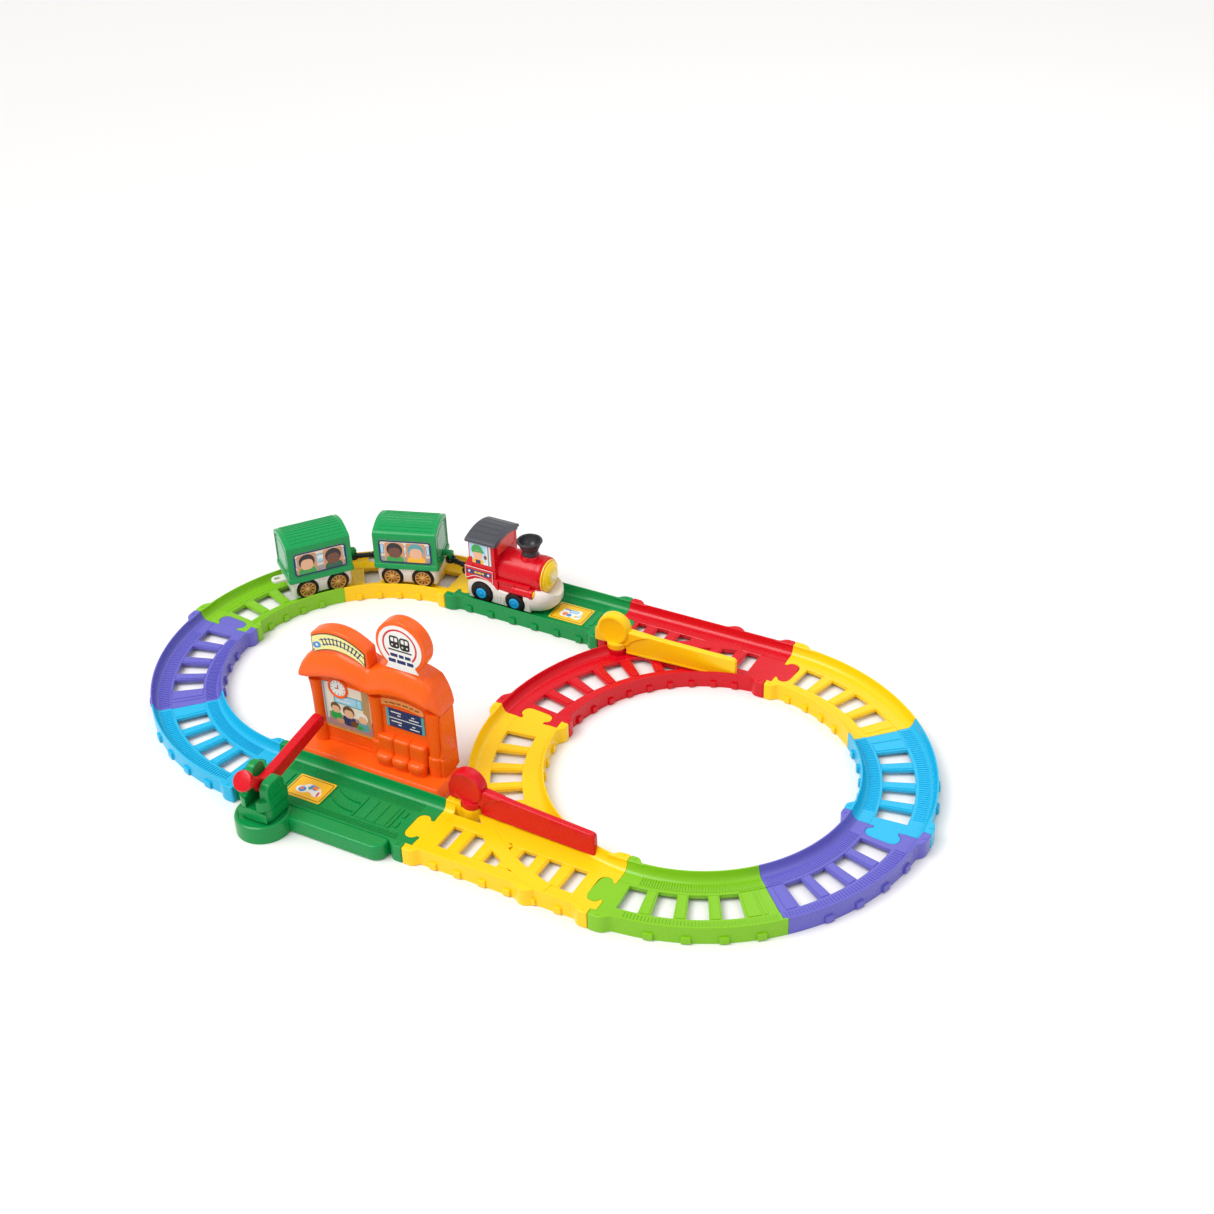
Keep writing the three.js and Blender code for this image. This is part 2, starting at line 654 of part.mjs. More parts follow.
// ---- carriages: drawn about their middle, front towards +X ----
const CAR_HALF = 43.5;
const CAR_WHEEL = 14;
const CAR_AXLE = 21;
const CAR_Z = DECK_TOP + RIDE + CAR_WHEEL;
const CAR_ARC = { radius: 57.9, z: 41.6 };
const HITCH_LOW = 30.5;
const HOOK_X = 53; // front hook peg
const LOOP_X = -52; // rear hitch slot
const LINK_LENGTH = 29.3;

function carEnd(half, radius, low) {
  const top = Math.acos(half / radius);
  const shape = new THREE.Shape();
  shape.moveTo(-half + 1, low);
  shape.lineTo(half - 1, low);
  shape.absarc(0, CAR_ARC.z, radius, top, Math.PI - top);
  return shape;
}

function carriageShell() {
  const skin = lengthways(carEnd(31, CAR_ARC.radius, 38.4), -CAR_HALF, CAR_HALF);
  const room = lengthways(carEnd(28.2, CAR_ARC.radius - 2.8, 30), -CAR_HALF + 2.6, CAR_HALF - 2.6);
  const hook = sum(box(CAR_HALF - 1, HOOK_X + 5, -4, 4, 46, 52), disc(HOOK_X, 0, 2.2, 33, 47, 10));
  return sum(cut(skin, room), hook);
}

function carriageChassis() {
  const frame = box(-41, 41, -29, 29, 14, 38);
  const tongueLoop = new THREE.Shape();
  tongueLoop.moveTo(-40, -7.5);
  tongueLoop.lineTo(LOOP_X - 2, -7.5);
  tongueLoop.absarc(LOOP_X - 2, 0, 7.5, -Math.PI / 2, Math.PI / 2, true);
  tongueLoop.lineTo(-40, 7.5);
  const slot = new THREE.Path();
  slot.absarc(LOOP_X, 0, 3.4, 0, 2 * Math.PI);
  tongueLoop.holes.push(slot);
  const wells = [];
  for (const x of [-CAR_AXLE, CAR_AXLE]) {
    wells.push(rodY(x, CAR_Z, CAR_WHEEL + 1.2, 22.4, 40), rodY(x, CAR_Z, CAR_WHEEL + 1.2, -40, -22.4));
    wells.push(rodY(x, CAR_Z, 2.2, -30, 30, 10));
  }
  const body = sum(frame, raise(tongueLoop, HITCH_LOW, HITCH_LOW + 3.5, 5));
  return cut(body, box(-38, 38, -20, 20, 17, 50), ...wells);
}

function wheelset(x) {
  const half = [
    [0, 32.4], [10, 31.6], [12.6, 32], [CAR_WHEEL, 30.6], [CAR_WHEEL, 24], [1.8, 23.2],
  ];
  const far = half.map(([r, d]) => [r, -d]);
  return turnedY([...far, ...half.reverse()], x, CAR_Z, 14);
}

function couplerLink() {
  const eye = disc(-LINK_LENGTH, 0, 7, 36, 42, 14);
  const bar = box(-LINK_LENGTH, 4, -3.5, 3.5, 36, 42);
  const pin = disc(0, 0, 2.3, 29, 37, 12);
  return cut(sum(eye, bar, disc(0, 0, 5, 36, 42, 12), pin), disc(-LINK_LENGTH, 0, 4.6, 30, 50, 12));
}

// ---- switch lever: drawn about its pivot, bar towards +X ----
function lever() {
  const side = new THREE.Shape();
  side.moveTo(-27, BOSS_TOP + 4.4);
  side.lineTo(12, BOSS_TOP + 4.4);
  side.lineTo(16, DECK_TOP + 0.5);
  side.lineTo(BAR_LENGTH, DECK_TOP + 0.5);
  side.lineTo(BAR_LENGTH, 36);
  side.quadraticCurveTo(BAR_LENGTH - 3, 40, BAR_LENGTH - 10, 40);
  side.lineTo(22, 45);
  side.quadraticCurveTo(20, 66, 0, 66);
  side.quadraticCurveTo(-20, 66, -24, 42);
  side.lineTo(-27, 34);
  const bar = sideways(side, -BAR_HALF, BAR_HALF, 4);
  return sum(bar, disc(0, 0, 8, BOSS_TOP + 0.3, 34, 14), disc(0, 0, PIN_RADIUS, BOSS_TOP - 7.5, 30, 12));
}

// ---- assembly ----
const trainSet = new THREE.Group();

function add(name, body, colour, roughness, metalness) {
  const item = mesh(name, body, colour, roughness, metalness);
  trainSet.add(item);
  return item;
}

const RIGHT_CURVES = [['lime', -90, true], ['purple', -45, false], ['cyan', 0, true], ['yellow', 45, false]];
const LEFT_CURVES = [['yellow', 90, true], ['lime', 135, false], ['purple', 180, true], ['cyan', 225, false]];
for (const [colour, from, tongued] of RIGHT_CURVES) {
  add(`track_curve_right_${colour}`, curve(LENGTH, from, tongued), COLOUR[colour]);
}
for (const [colour, from, tongued] of LEFT_CURVES) {
  add(`track_curve_left_${colour}`, curve(-LENGTH, from, tongued), COLOUR[colour]);
}
add('track_straight_green', straightTrack(), COLOUR.green);
add('track_station_green', stationTrack(), COLOUR.green);
add('track_switch_red', redSwitch(), COLOUR.red);
add('track_switch_yellow', yellowSwitch(), COLOUR.yellow);

const CLOSED_YELLOW = 3.2; // degrees from the straight road
const CLOSED_RED = 2.2;
add('switch_lever_yellow', placed(lever(), PIVOT_X, PIVOT_Y, CLOSED_YELLOW), COLOUR.yellow);
add('switch_lever_red', placed(lever(), PIVOT_X, PIVOT_Y, CLOSED_RED).mirror([0, 1, 0]), COLOUR.red);

const PLATE_Z = DECK_TOP + 0.3;
add('track_plate_back', box(-89, -39, 203, 241, PLATE_Z, PLATE_Z + 0.8), COLOUR.label);
add('track_plate_front', box(-183, -133, -245, -207, PLATE_Z, PLATE_Z + 0.8), COLOUR.label);

add('barrier_tower', barrierTower(), COLOUR.green);
add('barrier_arm', barrierArm(), COLOUR.red);
add('barrier_pin', rodX(PIN_Y, PIN_Z, 2, PIN_X - 13, PIN_X + 13, 12), COLOUR.steel, 0.3, 1);

add('station_base', stationBase(), COLOUR.orange);
add('station_front_shell', stationFront(), COLOUR.orange);
add('station_back_shell', stationBack(), COLOUR.orange);
const rect = (x0, x1, z0, z1) => outline([[x0, z0], [x1, z0], [x1, z1], [x0, z1]]);
add('poster_panel', panel(rect(-183, -118, 43, 104), FACADE), COLOUR.white);
add('clock_dial', panel(roundOutline(-160, 104, 11), FACADE - 1.1), COLOUR.white);
add('board_panel', panel(rect(-95, -44, 73, 98), FACADE), COLOUR.cell);
add('name_sign_panel', panel(signOutline(), FACADE), COLOUR.label);
add('round_sign_panel', panel(roundOutline(-66, 189, 28), FACADE), COLOUR.white);

const engine = new THREE.Group();
engine.position.set(ENGINE_X, RADIUS, 0);
trainSet.add(engine);
const engineParts = [
  ['engine_chassis', engineChassis(), COLOUR.white],
  ['engine_body', engineBody(), COLOUR.red],
  ['engine_cab_roof', cabRoof(), COLOUR.grey],
  ['engine_funnel', funnel(), COLOUR.grey],
  ['engine_face_button', faceButton(), COLOUR.yellow],
  ['engine_hitch', engineHitch(), COLOUR.black],
  ['engine_rear_axle', axle(REAR_X, REAR_Z), COLOUR.steel, 0.3, 1],
  ['engine_front_axle', axle(FRONT_X, FRONT_Z), COLOUR.steel, 0.3, 1],
  ['engine_wheel_rear_left', engineWheel(REAR_X, REAR_Z, REAR_WHEEL, 1), COLOUR.black],
  ['engine_wheel_rear_right', engineWheel(REAR_X, REAR_Z, REAR_WHEEL, -1), COLOUR.black],
  ['engine_wheel_front_left', engineWheel(FRONT_X, FRONT_Z, FRONT_WHEEL, 1), COLOUR.black],
  ['engine_wheel_front_right', engineWheel(FRONT_X, FRONT_Z, FRONT_WHEEL, -1), COLOUR.black],
  ['drive_motor', motor(), COLOUR.steel, 0.4, 1],
  ['motor_pinion', motorPinion(), COLOUR.brass, 0.4, 1],
  ['drive_gear', gear(GEAR.teeth, REAR_X, REAR_Z, 1.8, 0.5), COLOUR.white],
  ['battery_left', battery(5.6), COLOUR.cell],
  ['battery_right', battery(-5.6), COLOUR.cell],
  ['battery_door', batteryDoor(), COLOUR.white],
  ['battery_door_screw', doorScrew(), COLOUR.steel, 0.3, 1],
  ['circuit_board', circuitBoard(), COLOUR.board],
  ['speaker', sum(disc(-26, 0, 14, 62, 66), disc(-26, 0, 8, 58, 63)), COLOUR.black],
  ['face_lamp', rodX(0, BOILER_Z, 2.5, 46, 54, 12), COLOUR.white],
  ['power_switch', powerSwitch(), COLOUR.black],
];
for (const [name, body, colour, roughness, metalness] of engineParts) {
  engine.add(mesh(name, body, colour, roughness, metalness));
}

for (const [name, angle] of Object.entries(CARRIAGE_ANGLES)) {
  const car = new THREE.Group();
  const turn = THREE.MathUtils.degToRad(angle);
  car.position.set(-LENGTH + RADIUS * Math.cos(turn), RADIUS * Math.sin(turn), 0);
  car.rotation.z = turn - Math.PI / 2;
  car.add(mesh(`${name}_shell`, carriageShell(), COLOUR.carriage));
  car.add(mesh(`${name}_chassis`, carriageChassis(), COLOUR.white));
  car.add(mesh(`${name}_front_wheels`, wheelset(CAR_AXLE), COLOUR.black));
  car.add(mesh(`${name}_rear_wheels`, wheelset(-CAR_AXLE), COLOUR.black));
  trainSet.add(car);
}

// A link hangs from the vehicle ahead and its eye loops over the hook of the carriage behind.
function hitchPoint(name) {
  if (name === 'carriage_2') {
    return [ENGINE_X - 66, RADIUS];
  }
  const turn = THREE.MathUtils.degToRad(CARRIAGE_ANGLES.carriage_2);
  return [
    -LENGTH + RADIUS * Math.cos(turn) + LOOP_X * Math.sin(turn),
    RADIUS * Math.sin(turn) - LOOP_X * Math.cos(turn),
  ];
}
for (const name of Object.keys(CARRIAGE_ANGLES)) {
  const [x, y] = hitchPoint(name);
  add(`${name}_link`, placed(couplerLink(), x, y, LINK_TURN[name]), COLOUR.black);
}

const bounds = new THREE.Box3().setFromObject(trainSet, true);
const middle = bounds.getCenter(new THREE.Vector3());
trainSet.position.set(-middle.x, -middle.y, -bounds.min.z);

export default trainSet;
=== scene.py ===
import json
import math

import bmesh
import bpy
from mathutils import Matrix, Vector


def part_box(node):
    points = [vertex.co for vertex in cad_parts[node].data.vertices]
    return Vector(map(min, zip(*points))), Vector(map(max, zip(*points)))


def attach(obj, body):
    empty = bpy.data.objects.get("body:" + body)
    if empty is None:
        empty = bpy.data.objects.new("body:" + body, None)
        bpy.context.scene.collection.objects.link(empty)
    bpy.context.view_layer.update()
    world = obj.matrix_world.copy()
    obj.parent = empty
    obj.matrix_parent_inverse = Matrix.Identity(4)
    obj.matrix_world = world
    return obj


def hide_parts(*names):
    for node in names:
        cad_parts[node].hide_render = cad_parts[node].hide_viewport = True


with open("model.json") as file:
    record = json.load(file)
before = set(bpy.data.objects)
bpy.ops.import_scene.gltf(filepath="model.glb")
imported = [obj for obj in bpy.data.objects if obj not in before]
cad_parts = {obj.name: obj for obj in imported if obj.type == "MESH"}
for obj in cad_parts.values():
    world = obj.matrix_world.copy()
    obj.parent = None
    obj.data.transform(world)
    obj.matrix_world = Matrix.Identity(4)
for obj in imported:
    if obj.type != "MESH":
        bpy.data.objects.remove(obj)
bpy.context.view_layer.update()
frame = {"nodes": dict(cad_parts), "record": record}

# Lengths below are in millimetres, about the middle of the oval: straights along X, back straight at y = 225.
RADIUS = 225.0  # centreline of every curve
LENGTH = 230.0  # one straight piece
CURVE_LENGTH = RADIUS * math.pi / 4
WALL_TOP = 22.0
DECK_TOP = 10.0
DECK_BOTTOM = 5.0
STRIP_EDGE = 20.5  # centreline to the inner edge of the ribbed strips
WINDOW_HALF = 18.5
back_low, back_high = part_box("track_straight_green")
SHIFT = (back_low.y + back_high.y) * 500 - RADIUS  # from the oval's middle to the row frame's origin, along Y

# Linear colours, chosen so that the finished plastic has the right shade.
COLOURS = {"lime": (0.215, 0.520, 0.012), "purple": (0.135, 0.125, 0.520), "cyan": (0.010, 0.440, 0.720),
           "yellow": (0.940, 0.590, 0.004), "red": (0.630, 0.002, 0.011), "green": (0.002, 0.265, 0.058),
           "orange": (0.880, 0.112, 0.006), "grey": (0.065, 0.068, 0.082), "white": (0.800, 0.770, 0.720),
           "black": (0.012, 0.011, 0.011), "carriage_green": (0.004, 0.305, 0.078),
           "hub_blue": (0.014, 0.390, 0.760), "hub_wood": (0.680, 0.385, 0.110),
           "dark": (0.006, 0.060, 0.030), "orange_pale": (0.860, 0.300, 0.095),
           "red_pale": (0.800, 0.060, 0.045), "carriage_pale": (0.100, 0.400, 0.200),
           "navy": (0.010, 0.030, 0.100), "hub_shade": (0.260, 0.110, 0.028),
           "black_plastic": (0.010, 0.010, 0.011), "soot": (0.036, 0.036, 0.042),}


# ---- plastics ----
def node(tree, kind, **settings):
    made = tree.nodes.new(kind)
    for key, value in settings.items():
        setattr(made, key, value)
    return made


def new_group(name, inputs, outputs):
    tree = bpy.data.node_groups.new(name, "ShaderNodeTree")
    for label, kind, value in inputs:
        socket = tree.interface.new_socket(label, in_out="INPUT", socket_type=kind)
        if value is not None:
            socket.default_value = value
    for label, kind in outputs:
        tree.interface.new_socket(label, in_out="OUTPUT", socket_type=kind)
    return tree, tree.nodes.new("NodeGroupInput"), tree.nodes.new("NodeGroupOutput")


def math_node(tree, operation, first, second=None, clamp=False):
    made = node(tree, "ShaderNodeMath", operation=operation, use_clamp=clamp)
    for index, value in enumerate([first, second]):
        if value is None:
            continue
        if isinstance(value, (int, float)):
            made.inputs[index].default_value = value
        else:
            tree.links.new(value, made.inputs[index])
    return made.outputs[0]


def noise_node(tree, vector, scale, detail=3.0):
    made = node(tree, "ShaderNodeTexNoise")
    made.inputs["Scale"].default_value = scale
    made.inputs["Detail"].default_value = detail
    tree.links.new(vector, made.inputs["Vector"])
    return made.outputs["Fac"]


def moulded_surface_group():
    """Cloudy colour, patchy gloss, faint scuffs and a fine mould texture, for injection moulded plastic."""
    tree, start, end = new_group(
        "MouldedSurface",
        [("Vector", "NodeSocketVector", None), ("Colour", "NodeSocketColor", (1, 1, 1, 1)),
         ("Variation", "NodeSocketFloat", 0.06), ("Gloss roughness", "NodeSocketFloat", 0.28),
         ("Scuff roughness", "NodeSocketFloat", 0.12), ("Texture height", "NodeSocketFloat", 0.05)],
        [("Colour", "NodeSocketColor"), ("Roughness", "NodeSocketFloat"), ("Normal", "NodeSocketVector")],
    )
    vector = start.outputs["Vector"]
    cloud = noise_node(tree, vector, 35.0)
    tint = math_node(tree, "ADD", math_node(
        tree, "MULTIPLY", math_node(tree, "SUBTRACT", cloud, 0.5), start.outputs["Variation"]), 1.0)
    shade = node(tree, "ShaderNodeVectorMath", operation="SCALE")
    tree.links.new(start.outputs["Colour"], shade.inputs[0])
    tree.links.new(tint, shade.inputs["Scale"])
    tree.links.new(shade.outputs[0], end.inputs["Colour"])
    scuff = noise_node(tree, vector, 260.0, 5.0)
    worn = node(tree, "ShaderNodeMapRange")
    worn.inputs["From Min"].default_value = 0.45
    worn.inputs["From Max"].default_value = 0.75
    tree.links.new(scuff, worn.inputs["Value"])
    rough = math_node(tree, "MULTIPLY", worn.outputs[0], start.outputs["Scuff roughness"])
    tree.links.new(math_node(tree, "ADD", rough, start.outputs["Gloss roughness"]), end.inputs["Roughness"])
    bump = node(tree, "ShaderNodeBump")
    bump.inputs["Distance"].default_value = 0.00004
    tree.links.new(start.outputs["Texture height"], bump.inputs["Strength"])
    tree.links.new(noise_node(tree, vector, 1500.0, 2.0), bump.inputs["Height"])
    tree.links.new(bump.outputs[0], end.inputs["Normal"])
    return tree


MOULDED = moulded_surface_group()


def group_in(material, group, **values):
    made = material.node_tree.nodes.new("ShaderNodeGroup")
    made.node_tree = group
    for label, value in values.items():
        made.inputs[label.replace("_", " ")].default_value = value
    return made


def blank_material(name):
    material = bpy.data.materials.new(name)
    material.use_nodes = True
    return material, material.node_tree, material.node_tree.nodes["Principled BSDF"]


def plastic(name, colour, gloss=0.21, variation=0.035, texture=0.03, metallic=0.0, coat=0.0):
    material, tree, shader = blank_material(name)
    place = node(tree, "ShaderNodeTexCoord")
    surface = group_in(material, MOULDED, Colour=(*colour, 1), Variation=variation, Gloss_roughness=gloss,
                       Texture_height=texture)
    tree.links.new(place.outputs["Object"], surface.inputs["Vector"])
    tree.links.new(surface.outputs["Colour"], shader.inputs["Base Color"])
    tree.links.new(surface.outputs["Roughness"], shader.inputs["Roughness"])
    tree.links.new(surface.outputs["Normal"], shader.inputs["Normal"])
    shader.inputs["Specular IOR Level"].default_value = 0.32
    shader.inputs["Metallic"].default_value = metallic
    shader.inputs["Coat Weight"].default_value = coat
    material.diffuse_color = (*colour, 1)
    return material


PLASTIC = {name: plastic(f"{name}_plastic", colour) for name, colour in COLOURS.items()}
PLASTIC["black"] = plastic("black_rubber", COLOURS["black"], gloss=0.5, texture=0.12)
PLASTIC["grey"] = plastic("grey_plastic", COLOURS["grey"], gloss=0.32)
STEEL = plastic("turned_steel", (0.55, 0.56, 0.58), gloss=0.25, metallic=1.0)
BRASS = plastic("machined_brass", (0.60, 0.42, 0.14), gloss=0.3, metallic=1.0)


# ---- printed labels ----
def printed_shape_group():
    """A rounded box, disc or line drawn on a label: 1 inside it and 0 outside. Lengths in millimetres."""
    number = "NodeSocketFloat"
    tree, start, end = new_group(
        "PrintedShape",
        [(label, number, 0.0) for label in ("Across", "Up", "Centre across", "Centre up", "Half width",
                                            "Half height", "Corner", "Turn", "Line")],
        [("Mask", number)],
    )
    value = start.outputs
    across = math_node(tree, "SUBTRACT", value["Across"], value["Centre across"])
    up = math_node(tree, "SUBTRACT", value["Up"], value["Centre up"])
    cosine, sine = math_node(tree, "COSINE", value["Turn"]), math_node(tree, "SINE", value["Turn"])
    along = math_node(tree, "ADD", math_node(tree, "MULTIPLY", across, cosine),
                      math_node(tree, "MULTIPLY", up, sine))
    over = math_node(tree, "SUBTRACT", math_node(tree, "MULTIPLY", up, cosine),
                     math_node(tree, "MULTIPLY", across, sine))
    past = []
    for position, half in ((along, value["Half width"]), (over, value["Half height"])):
        short = math_node(tree, "SUBTRACT", math_node(tree, "ABSOLUTE", position), half)
        past.append(math_node(tree, "ADD", short, value["Corner"]))
    squares = [math_node(tree, "POWER", math_node(tree, "MAXIMUM", reach, 0.0), 2.0) for reach in past]
    outside = math_node(tree, "SQRT", math_node(tree, "ADD", *squares))
    inside = math_node(tree, "MINIMUM", math_node(tree, "MAXIMUM", *past), 0.0)
    distance = math_node(tree, "SUBTRACT", math_node(tree, "ADD", outside, inside), value["Corner"])
    drawn = math_node(tree, "SUBTRACT", math_node(tree, "ABSOLUTE", distance),
                      math_node(tree, "MULTIPLY", value["Line"], 0.5))
    is_line = math_node(tree, "GREATER_THAN", value["Line"], 0.001)
    change = math_node(tree, "MULTIPLY", is_line, math_node(tree, "SUBTRACT", drawn, distance))
    edge = math_node(tree, "MULTIPLY", math_node(tree, "ADD", distance, change), 4.0)
    tree.links.new(math_node(tree, "SUBTRACT", 0.5, edge, clamp=True), end.inputs["Mask"])
    return tree


PRINTED = printed_shape_group()


def printed(name, base, shapes, centre=(0, 0, 0), across=(1, 0, 0), up=(0, 0, 1), gloss=0.22):
    """A printed label. Each shape is (colour, x, y, half width, half height[, corner, degrees, line]).

    Inputs 6 and 7 of a colour mix are its two colours, and output 2 is the mixed one.
    """
    material, tree, shader = blank_material(name)
    place = node(tree, "ShaderNodeTexCoord")
    local = []
    for direction in (across, up):
        direction = Vector(direction)
        reach = node(tree, "ShaderNodeVectorMath", operation="DOT_PRODUCT")
        tree.links.new(place.outputs["Object"], reach.inputs[0])
        reach.inputs[1].default_value = direction * 1000
        offset = Vector((centre[0], centre[1] + SHIFT, centre[2])).dot(direction)
        local.append(math_node(tree, "SUBTRACT", reach.outputs["Value"], offset))
    ink = None
    for colour, x, y, half_x, half_y, *rest in shapes:
        corner, turn, line = (*rest, 0, 0, 0)[:3]
        mask = group_in(material, PRINTED, Centre_across=x, Centre_up=y, Half_width=half_x,
                        Half_height=half_y, Corner=corner, Turn=math.radians(turn), Line=line)
        tree.links.new(local[0], mask.inputs["Across"])
        tree.links.new(local[1], mask.inputs["Up"])
        layer = node(tree, "ShaderNodeMix", data_type="RGBA")
        tree.links.new(mask.outputs["Mask"], layer.inputs["Factor"])
        layer.inputs[6].default_value = (*base, 1)
        if ink:
            tree.links.new(ink, layer.inputs[6])
        layer.inputs[7].default_value = (*INKS[colour], 1)
        ink = layer.outputs[2]
    surface = group_in(material, MOULDED, Colour=(*base, 1), Variation=0.03, Gloss_roughness=gloss,
                       Texture_height=0.1)
    tree.links.new(place.outputs["Object"], surface.inputs["Vector"])
    if ink:
        tree.links.new(ink, surface.inputs["Colour"])
    for output, socket in (("Colour", "Base Color"), ("Roughness", "Roughness"), ("Normal", "Normal")):
        tree.links.new(surface.outputs[output], shader.inputs[socket])
    material.diffuse_color = (*base, 1)
    return material


def disc(colour, x, y, radius, line=0):
    return (colour, x, y, radius, radius, radius, 0, line)


INKS = {"navy": (0.022, 0.030, 0.130), "white": (0.82, 0.82, 0.80), "black": (0.010, 0.010, 0.012),
        "red": (0.62, 0.012, 0.020), "pale_yellow": (0.86, 0.80, 0.30), "gold": (0.90, 0.50, 0.010),
        "teal": (0.10, 0.36, 0.40), "sky": (0.38, 0.66, 0.86), "blue": (0.03, 0.26, 0.62),
        "cream": (0.80, 0.72, 0.60), "wall": (0.66, 0.62, 0.56), "mauve": (0.40, 0.22, 0.25),
        "brown": (0.17, 0.055, 0.025), "tan": (0.62, 0.30, 0.15), "skin_light": (0.80, 0.46, 0.28),
        "skin_dark": (0.16, 0.055, 0.028), "leaf": (0.03, 0.36, 0.07), "orange": (0.88, 0.20, 0.02),
        "grey": (0.30, 0.30, 0.31), "wood": (0.48, 0.27, 0.13), "dark_green": (0.010, 0.110, 0.060),}


# ---- solids ----
def soften(shape, width, steps=2, sharper_than=28.0):
    """Rounds the edges of a moulded solid."""
    if width > 0:
        limit = math.radians(sharper_than)
        edges = [e for e in shape.edges if len(e.link_faces) == 2 and e.calc_face_angle(0) > limit]
        bmesh.ops.bevel(shape, geom=edges, offset=width, offset_type="OFFSET", segments=steps, profile=0.5,
                        affect="EDGES", clamp_overlap=True)
    return shape


AXES = {"z": lambda a, b, c: (a, b, c), "y": lambda a, b, c: (a, c, b), "x": lambda a, b, c: (c, a, b)}


def prism(points, low, high, axis="z", soft=0.6, steps=2):
    """An outline extruded along an axis: X and Y points for z, X and Z points for y, Y and Z points for x."""
    shape = bmesh.new()
    place = AXES[axis]
    below = [shape.verts.new(place(a, b, low)) for a, b in points]
    above = [shape.verts.new(place(a, b, high)) for a, b in points]
    shape.faces.new(below)
    shape.faces.new(above)
    for i in range(len(points)):
        j = (i + 1) % len(points)
        shape.faces.new([below[i], below[j], above[j], above[i]])
    bmesh.ops.recalc_face_normals(shape, faces=shape.faces)
    return soften(shape, soft, steps)


def block(x0, x1, y0, y1, z0, z1, soft=0.6, steps=2):
    return prism([(x0, y0), (x1, y0), (x1, y1), (x0, y1)], z0, z1, soft=soft, steps=steps)


def turned(profile, centre, axis="z", sides=48):
    """A profile of (radius, distance) points turned about an axis through centre."""
    shape = bmesh.new()
    rings = []
    for radius, distance in profile:
        if radius < 1e-6:
            rings.append([shape.verts.new((0, 0, distance))])
        else:
            rings.append([shape.verts.new((radius * math.cos(t), radius * math.sin(t), distance))
                          for t in (2 * math.pi * k / sides for k in range(sides))])
    for first, second in zip(rings, rings[1:]):
        for k in range(sides):
            n = (k + 1) % sides
            corners = [first[k % len(first)], first[n % len(first)], second[n % len(second)],
                       second[k % len(second)]]
            corners = list(dict.fromkeys(corners))
            if len(corners) > 2:
                shape.faces.new(corners)
    bmesh.ops.recalc_face_normals(shape, faces=shape.faces)
    turn = {"z": Matrix.Identity(4), "x": Matrix.Rotation(math.pi / 2, 4, "Y"),
            "y": Matrix.Rotation(-math.pi / 2, 4, "X")}[axis]
    bmesh.ops.transform(shape, matrix=Matrix.Translation(centre) @ turn, verts=shape.verts)
    return shape


def sweep(section, stations):
    """A closed section of across and height points, carried along X through the stations."""
    return skin([[(s, u, h) for u, h in section] for s in stations])


def stations(start, end, longest=7.0):
    count = max(1, math.ceil(abs(end - start) / longest))
    return [start + (end - start) * k / count for k in range(count + 1)]


def moved(shape, matrix):
    bmesh.ops.transform(shape, matrix=matrix, verts=shape.verts)
    if matrix.determinant() < 0:
        bmesh.ops.reverse_faces(shape, faces=shape.faces)
    return shape


MIRROR = Matrix.Scale(-1, 4, (0, 1, 0))  # swaps the two sides of a shape drawn along X


def bent(shape, centre_x, start):
    """Wraps a piece drawn along X round a curve, clockwise from an angle in degrees."""
    for v in shape.verts:
        angle = math.radians(start) - v.co.x / RADIUS
        reach = RADIUS + v.co.y
        v.co = (centre_x + reach * math.cos(angle), reach * math.sin(angle), v.co.z)
    return shape


def round_points(cx, cz, radius, start, end, steps):
    """Points on an arc, with angles in degrees."""
    return [(cx + radius * math.cos(math.radians(start + (end - start) * k / steps)),
             cz + radius * math.sin(math.radians(start + (end - start) * k / steps)))
            for k in range(steps + 1)]


def curve_points(*anchors, steps=5):
    """A path of straight runs and curves: (x, y) for a corner, (cx, cy, x, y) for a quadratic curve."""
    points = []
    for anchor in anchors:
        if len(anchor) == 2:
            points.append(anchor)
            continue
        cx, cy, x, y = anchor
        px, py = points[-1]
        for k in range(1, steps + 1):
            t = k / steps
            points.append(((1 - t) ** 2 * px + 2 * t * (1 - t) * cx + t * t * x,
                           (1 - t) ** 2 * py + 2 * t * (1 - t) * cy + t * t * y))
    return points


def skin(rings):
    """Joins rings of points, all with the same count, into one closed solid."""
    shape = bmesh.new()
    loops = [[shape.verts.new(point) for point in points] for points in rings]
    for first, second in zip(loops, loops[1:]):
        for k in range(len(first)):
            n = (k + 1) % len(first)
            shape.faces.new([first[k], first[n], second[n], second[k]])
    shape.faces.new(loops[0])
    shape.faces.new(loops[-1])
    bmesh.ops.recalc_face_normals(shape, faces=shape.faces)
    return shape


def rounded_rectangle(x0, x1, y0, y1, radius, steps=5):
    points = []
    for cx, cy, start in ((x1 - radius, y1 - radius, 0), (x0 + radius, y1 - radius, 90),
                          (x0 + radius, y0 + radius, 180), (x1 - radius, y0 + radius, 270)):
        points += round_points(cx, cy, radius, start, start + 90, steps)
    return points


def stacked(x0, x1, y0, y1, radius, layers, steps=5):
    """A block with rounded corners whose sides move in or out with height: layers are (inset, z)."""
    return skin([[(x, y, z) for x, y in rounded_rectangle(x0 + inset, x1 - inset, y0 + inset, y1 - inset,
                                                          max(radius - inset, 0.3), steps)]
                 for inset, z in layers])


def pillow(x0, x1, y0, y1, z0, z1, radius, corner=None):
    """A block whose every edge is fully rounded."""
    step = 0.39  # radians, a quarter of a right angle
    layers = [(radius - radius * math.sin(k * step), z0 + radius - radius * math.cos(k * step))
              for k in range(5)]
    layers += [(inset, z1 - (z - z0)) for inset, z in reversed(layers)]
    return stacked(x0, x1, y0, y1, corner or radius * 1.6, layers)


